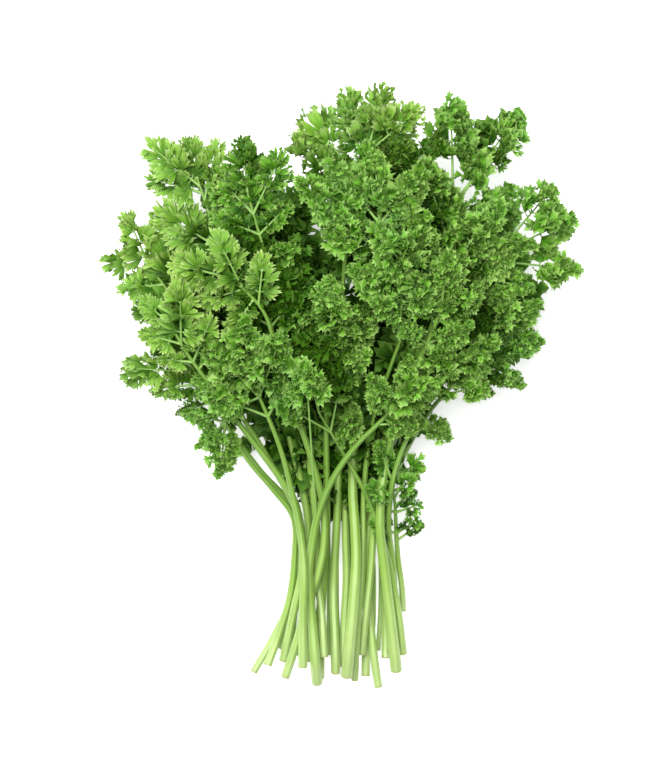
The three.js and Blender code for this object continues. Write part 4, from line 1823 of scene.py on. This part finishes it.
# The twigs that carry leaflets: how long they are, how far they run on into the leaflet, and
# their radii.
TWIG_SHARE = 0.14
TWIG_OVERLAP = 0.12
TWIG_RADII = (0.36, 0.18)

# The ribs: where they end, as a share of the pinna, and at these shares of that these radii.
RIB_END = 0.92
RIB_END_HIDDEN = 0.75
RIB_RADII = ((0.0, 0.15, 1.0), (0.72, 0.55, 0.26))

# The stem: its sides, and how much slimmer than its solid it is: at these shares of its length,
# these shares of its radius.
STEM_SIDES = 12
SLIMMING = ((0.0, 0.3, 0.55, 1.0), (0.98, 1.0, 0.95, 0.62))
HIDDEN_SLIMMING = 0.6

# The sprigs that some fronds carry between their pinnae: how far apart, at what angle, how far
# raised and how far turned.
SPRIG_SPACING = 9.0
SPRIG_ANGLE = 1.05
SPRIG_SWING = 0.3
SPRIG_RISE = 4.0
SPRIG_RISE_RANGE = (-0.5, 1.5)
SPRIG_ROLL = 0.6
HIDDEN_SPRIGS = (10, 32.0)
FILL_RISE = 3.0  # how far the tips of the sprigs that fill a gap are above their stem

# The outline that hidden ones' tips keep within: half its width at these places along the bunch.
OUTLINE_Y = (-42.0, -20.0, 0.0, 20.0, 60.0, 112.0)
OUTLINE_HALF_WIDTH = (20.0, 36.0, 54.0, 74.0, 88.0, 46.0)

# How hidden leaves are painted lighter towards that outline, as painted light where they come out
# from under the heap: from this share of the way out, and by how much.
RIM_START = 0.55
RIM_PAINTED_LIGHT = 3.0


@dataclass
class Frond:
    """One frond: its stem, rachis, ribs and leaflets, in one piece.

    Args:
        stem: Its settled stem.
        order: Its place in the list of fronds.
        nursery: The patterns that it is made from.
        canopy: The heap's level.
        leaf: Its leaves' finish.
        bark: Its stem's finish.
        slot: The record's slot for its finish; not used.
    """

    stem: Stem
    order: int
    nursery: Nursery
    canopy: Canopy
    leaf: bpy.types.Material
    bark: bpy.types.Material
    slot: str

    def build(self, node: bpy.types.Object) -> bpy.types.Object:
        """Builds the frond over its node.

        Args:
            node: The node.

        Returns:
            The frond as one object.
        """
        plan = self.stem.plan
        rng = np.random.default_rng(FROND_SEED + self.order)
        fitting = Fitting(node)
        parts = [self.stalk()]
        for index in range(len(plan.pinnae)):
            pinna, found = fitting.pinna(self.stem, self.order, index)
            if not found:
                LOG.info("%s: pinna %d isn't in the solid", plan.name, index)
            tone = plan.tone + PINNA_TONE * ((index in plan.light) - (index in plan.dim))
            parts.extend(self.leaves(pinna, rng, self.spread(index), tone))
        for sprig in self.sprigs(rng):
            parts.extend(self.leaves(sprig, rng, FILLING_SPREAD, plan.tone))
        only(*parts[::-1])
        bpy.ops.object.join()
        frond = bpy.context.object
        frond.name = f"{plan.name}_sprig"
        self.shade(frond.data)
        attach(frond, "root")
        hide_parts(node.name)
        return frond

    def shade(self, mesh: bpy.types.Mesh) -> None:
        """Paints light on leaves above the heap's level, and paints shade on those in its gaps.

        Args:
            mesh: The frond's mesh.
        """
        values = mesh.attributes[TONE_AND_SHADE_NAME].data
        tone_and_shade_values = np.empty(len(values), np.float32)
        values.foreach_get("value", tone_and_shade_values)
        if not self.stem.plan.hidden:
            relief = self.canopy.relief(corners_of(mesh) / MM)
            # Painted light and shade: lighter above the heap's level, darker in its gaps.
            tone_and_shade_values += RELIEF_PAINTED_SHADE * np.clip((relief - RELIEF_BASE) / RELIEF_DEPTH, -1, 1)
        values.foreach_set("value", np.clip(tone_and_shade_values, -1, 1).astype(np.float32))

    def stalk(self) -> bpy.types.Object:
        """Builds the stem and rachis.

        Returns:
            The stem with its rachis.
        """
        pattern = TubePattern(STEM_SIDES, len(self.stem.points) - 1, hollow=True)
        pattern.model()
        pattern.mesh.materials.append(self.bark)
        share = np.linspace(0, 1, len(self.stem.points))
        slimness = np.interp(share, *SLIMMING)
        if self.stem.plan.hidden:
            slimness = slimness * HIDDEN_SLIMMING
        return pattern.along(self.stem.points, self.stem.radius * slimness)

    def sprigs(self, rng: np.random.Generator) -> list[Pinna]:
        """Places the sprigs between the frond's pinnae, which fill the heap.

        Args:
            rng: The frond's random numbers.

        Returns:
            The sprigs.
        """
        points = self.stem.points
        found = []
        pairs, length = HIDDEN_SPRIGS if self.stem.plan.hidden else self.stem.plan.sprigs
        for count in range(pairs):
            at = len(points) - 2 - int((count + 0.5) * SPRIG_SPACING / STEM_STEP)
            ahead = unit(points[at + 1] - points[at - 1])
            for hand in (-1, 1):
                angle = hand * (SPRIG_ANGLE + swing(rng, SPRIG_SWING))
                rise = SPRIG_RISE * rng.uniform(*SPRIG_RISE_RANGE)
                tip = points[at] + turned(ahead, UPWARDS, angle) * length + UPWARDS * rise
                roll = swing(rng, SPRIG_ROLL)
                edge = np.interp(tip[1], OUTLINE_Y, OUTLINE_HALF_WIDTH, left=0.0)
                if abs(tip[0]) < edge or not self.stem.plan.hidden:
                    found.append(Pinna(points[at], tip, roll))
        for place in self.stem.plan.fills:
            at = int(np.argmin(np.linalg.norm(points[:-2, :2] - place, axis=1)))
            found.append(Pinna(points[at], np.array([*place, points[at][2] + FILL_RISE]), 0.0))
        return found

    def spread(self, index: int) -> Spread:
        """Chooses how leaflets sit on one of the plan's pinnae.

        Args:
            index: The pinna's place on the frond.

        Returns:
            The spread of its leaflets.
        """
        plan = self.stem.plan
        if index in plan.sparse:
            return SPARSE_SPREAD
        if index in plan.stalked:
            return STALKED_SPREAD
        return HIDDEN_SPREAD if plan.hidden else SPREADS[plan.habit]

    def leaves(
        self, pinna: Pinna, rng: np.random.Generator, spread: Spread, tone: float
    ) -> list[bpy.types.Object]:
        """Builds a pinna.

        Args:
            pinna: Where it runs.
            rng: The frond's random numbers.
            spread: How its leaflets sit on it.
            tone: How light its green is, with painted light and shade in it.

        Returns:
            Its rib, leaflets and twigs.
        """
        marks = np.linspace(0, 1, self.nursery.rib.rings + 1)
        end = RIB_END_HIDDEN if self.stem.plan.hidden else RIB_END
        line = np.array([pinna.place(t * pinna.length * end) for t in marks])
        made = [self.nursery.rib.along(line, np.interp(marks, *RIB_RADII))]
        mood = tone + swing(rng, TONE_PINNA)
        for share, size, angle in spread.pairs:
            for hand in (-1, 1):
                made.extend(self.leaflet(pinna, rng, share, size, hand * angle, mood))
        made.extend(self.leaflet(pinna, rng, *spread.end, 0.0, mood))
        for share, size in spread.upper:
            angle = rng.uniform(-UPPER_ANGLE, UPPER_ANGLE)
            made.extend(self.leaflet(pinna, rng, share, size, angle, mood, UPPER_PITCH))
        return made

    def leaflet(
        self,
        pinna: Pinna,
        rng: np.random.Generator,
        share: float,
        size: float,
        angle: float,
        mood: float,
        pitch: float = 0.0,
    ) -> list[bpy.types.Object]:
        """Builds one leaflet.

        Args:
            pinna: The pinna that it grows on.
            rng: The frond's random numbers.
            share: Where it leaves the rib, as a share of the blade.
            size: Its length, as a share of the blade's.
            angle: The angle at which it stands off the rib, in radians.
            mood: How light its pinna is, painted light and shade included.
            pitch: How steeply it stands up from the rib, in radians.

        Returns:
            The leaflet and, unless it is hidden, the twig that carries it.
        """
        plan = self.stem.plan
        length = LEAFLET_SCALE * size * pinna.blade * (1 + swing(rng, LENGTH_SWING))
        start = pinna.place(pinna.stalk + share * pinna.blade)
        angle += swing(rng, ANGLE_SWING)
        ahead = pinna.along * math.cos(angle) + pinna.side * math.sin(angle)
        lively = SPREADS[plan.habit].lively
        across = unit(np.cross(ahead, pinna.normal))
        ahead = turned(ahead, across, pitch + lively * rng.uniform(*LIFT_RANGE))
        across = turned(across, ahead, swing(rng, lively * ROLL_SHARE))
        root = start if plan.hidden else start + ahead * (TWIG_SHARE * length)
        # Painted shade: leaflets darker towards the pinna's base and lighter towards its tip, plus
        # a random tone.
        tone = mood + PAINTED_SHADE_ALONG * (share - TONE_START) + swing(rng, TONE_LEAFLET)
        # Painted light: hidden leaves lighter towards the heap's outline, where they come out from
        # under it.
        if plan.hidden:
            edge = np.interp(start[1], OUTLINE_Y, OUTLINE_HALF_WIDTH)
            reach = max(abs(start[0]) / edge, start[1] / OUTLINE_Y[-1])
            tone += RIM_PAINTED_LIGHT * max(reach - RIM_START, 0.0)
        patterns = self.nursery.leaflets[Habit.PLAIN if plan.hidden else plan.habit]
        pattern = patterns[int(rng.integers(len(patterns)))]
        axes = np.array([across, ahead, np.cross(across, ahead)])
        bend = BEND_MOST * rng.uniform(*BEND_RANGE)
        blade = pattern.copy(root, axes, length, bend, tone)
        blade.data.materials[0] = self.leaf
        if plan.hidden:
            return [blade]
        line = np.array([start, root + ahead * length * TWIG_OVERLAP])
        return [blade, self.nursery.twig.along(line, np.array(TWIG_RADII))]


@dataclass
class Studio:
    """The pale floor, the soft lights and the camera above.

    Args:
        scale: Millimetres to a pixel, at the height looked at.
        rows: How many pixels high the view is.
        looked_at: The place in the middle of the view, in millimetres.
        distance: How far away the camera is, in metres.
        sensor: The width of the camera's sensor, in millimetres.
        floor_size: How wide the floor is, in metres.
        floor_drop: How far it lies below the bunch, in metres.
        floor_glow: How much light it gives off.
        lamp_place: Where the lamp hangs, in metres.
        lamp_tilt: How it is turned, in degrees.
        lamp_size: How wide it is, in metres.
        lamp_power: Its power in watts.
        sky: How bright the sky is.
    """

    scale: float = 0.42
    rows: int = 774
    looked_at: tuple[float, float, float] = (-6.7, 0.75, 35.0)
    distance: float = 2.6
    sensor: float = 36.0
    floor_size: float = 6.0
    floor_drop: float = 0.0003
    floor_glow: float = 0.55
    lamp_place: tuple[float, float, float] = (-0.35, 0.45, 1.5)
    lamp_tilt: tuple[float, float, float] = (-17.0, -13.0, 0.0)
    lamp_size: float = 1.1
    lamp_power: float = 44.0
    sky: float = 0.5

    def build(self) -> None:
        """Sets the floor, the lights and the camera."""
        self.floor()
        self.camera()
        self.lights()
        bpy.context.scene.view_settings.view_transform = "Standard"

    def floor(self) -> None:
        """Lays the pale floor."""
        only()
        place = (0, 0, -self.floor_drop)
        bpy.ops.mesh.primitive_plane_add(size=self.floor_size, location=place)
        floor = bpy.context.object
        floor.name = "floor"
        graph = Graph("pale_floor")
        paper = graph.skin(
            {
                "Base Color": (0.9, 0.9, 0.9, 1),
                "Roughness": 0.9,
                "Emission Color": (1, 1, 1, 1),
                "Emission Strength": self.floor_glow,
            }
        )
        floor.data.materials.append(graph.output(paper))

    def camera(self) -> None:
        """Puts the camera straight above, looking down."""
        x, y, z = (v * MM for v in self.looked_at)
        bpy.ops.object.camera_add(location=(x, y, z + self.distance), rotation=(0, 0, 0))
        camera = bpy.context.object
        camera.data.lens = self.sensor * self.distance / (self.rows * self.scale * MM)
        camera.data.sensor_width = self.sensor
        camera.data.clip_end = 20.0
        bpy.context.scene.camera = camera

    def lights(self) -> None:
        """Hangs one large soft lamp above the head and fills in with an even sky."""
        bpy.ops.object.light_add(type="AREA", location=self.lamp_place)
        lamp = bpy.context.object
        lamp.rotation_euler = tuple(math.radians(angle) for angle in self.lamp_tilt)
        lamp.data.shape = "SQUARE"
        lamp.data.size = self.lamp_size
        lamp.data.energy = self.lamp_power
        world = bpy.data.worlds.new("sky")
        world.use_nodes = True
        background = world.node_tree.nodes["Background"]
        background.inputs[0].default_value = (1.0, 1.0, 1.0, 1.0)
        background.inputs[1].default_value = self.sky
        bpy.context.scene.world = world


BARK = StemFinish(
    "stem_skin",
    scar=(0.36, 0.38, 0.15),
    cut=(0.40, 0.54, 0.19),
    middle=(0.26, 0.42, 0.075),
    head=(0.17, 0.32, 0.045),
)
RIB = StemFinish("rib_skin", *((0.23, 0.42, 0.085),) * 4)
LEAVES = {
    "leaf_green": LeafFinish(
        "leaf_green_skin",
        deep=(0.034, 0.145, 0.003),
        body=(0.128, 0.365, 0.022),
        tip=(0.30, 0.50, 0.12),
    ),
    "bright_green": LeafFinish(
        "bright_green_skin",
        deep=(0.07, 0.21, 0.010),
        body=(0.18, 0.385, 0.040),
        tip=(0.36, 0.53, 0.15),
    ),
    # The leaves under the heap: a darker green, partly painted shade for the gaps under the fronds
    # above.
    "inner_green": LeafFinish(
        "inner_green_skin",
        deep=(0.015, 0.07, 0.003),
        body=(0.065, 0.21, 0.012),
        tip=(0.17, 0.38, 0.05),
    ),
}


def main() -> None:
    """Builds the bunch, frond by frond, and then the studio round it."""
    logging.basicConfig(level=logging.INFO, format="%(message)s")
    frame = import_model()
    slots = {row["node"]: row["material_slot"] for row in frame["record"]["subparts"]}
    bark = BARK.material()
    skins = {slot: finish.material() for slot, finish in LEAVES.items()}
    heap = Heap(FRONDS)
    heap.settle()
    nursery = Nursery()
    nursery.model(skins["leaf_green"], RIB.material())
    nodes = [frame["nodes"][f"{stem.plan.name}_frond"] for stem in heap.stems]
    canopy = Canopy(nodes)
    total = 0
    for order, (stem, node) in enumerate(zip(heap.stems, nodes)):
        slot = slots[node.name]
        frond = Frond(stem, order, nursery, canopy, skins[slot], bark, slot).build(node)
        triangles = sum(len(face.vertices) - 2 for face in frond.data.polygons)
        total += triangles
        LOG.info("%s: %d triangles", frond.name, triangles)
    LOG.info("%d triangles in all", total)
    Studio().build()


if __name__ == "__main__":
    main()
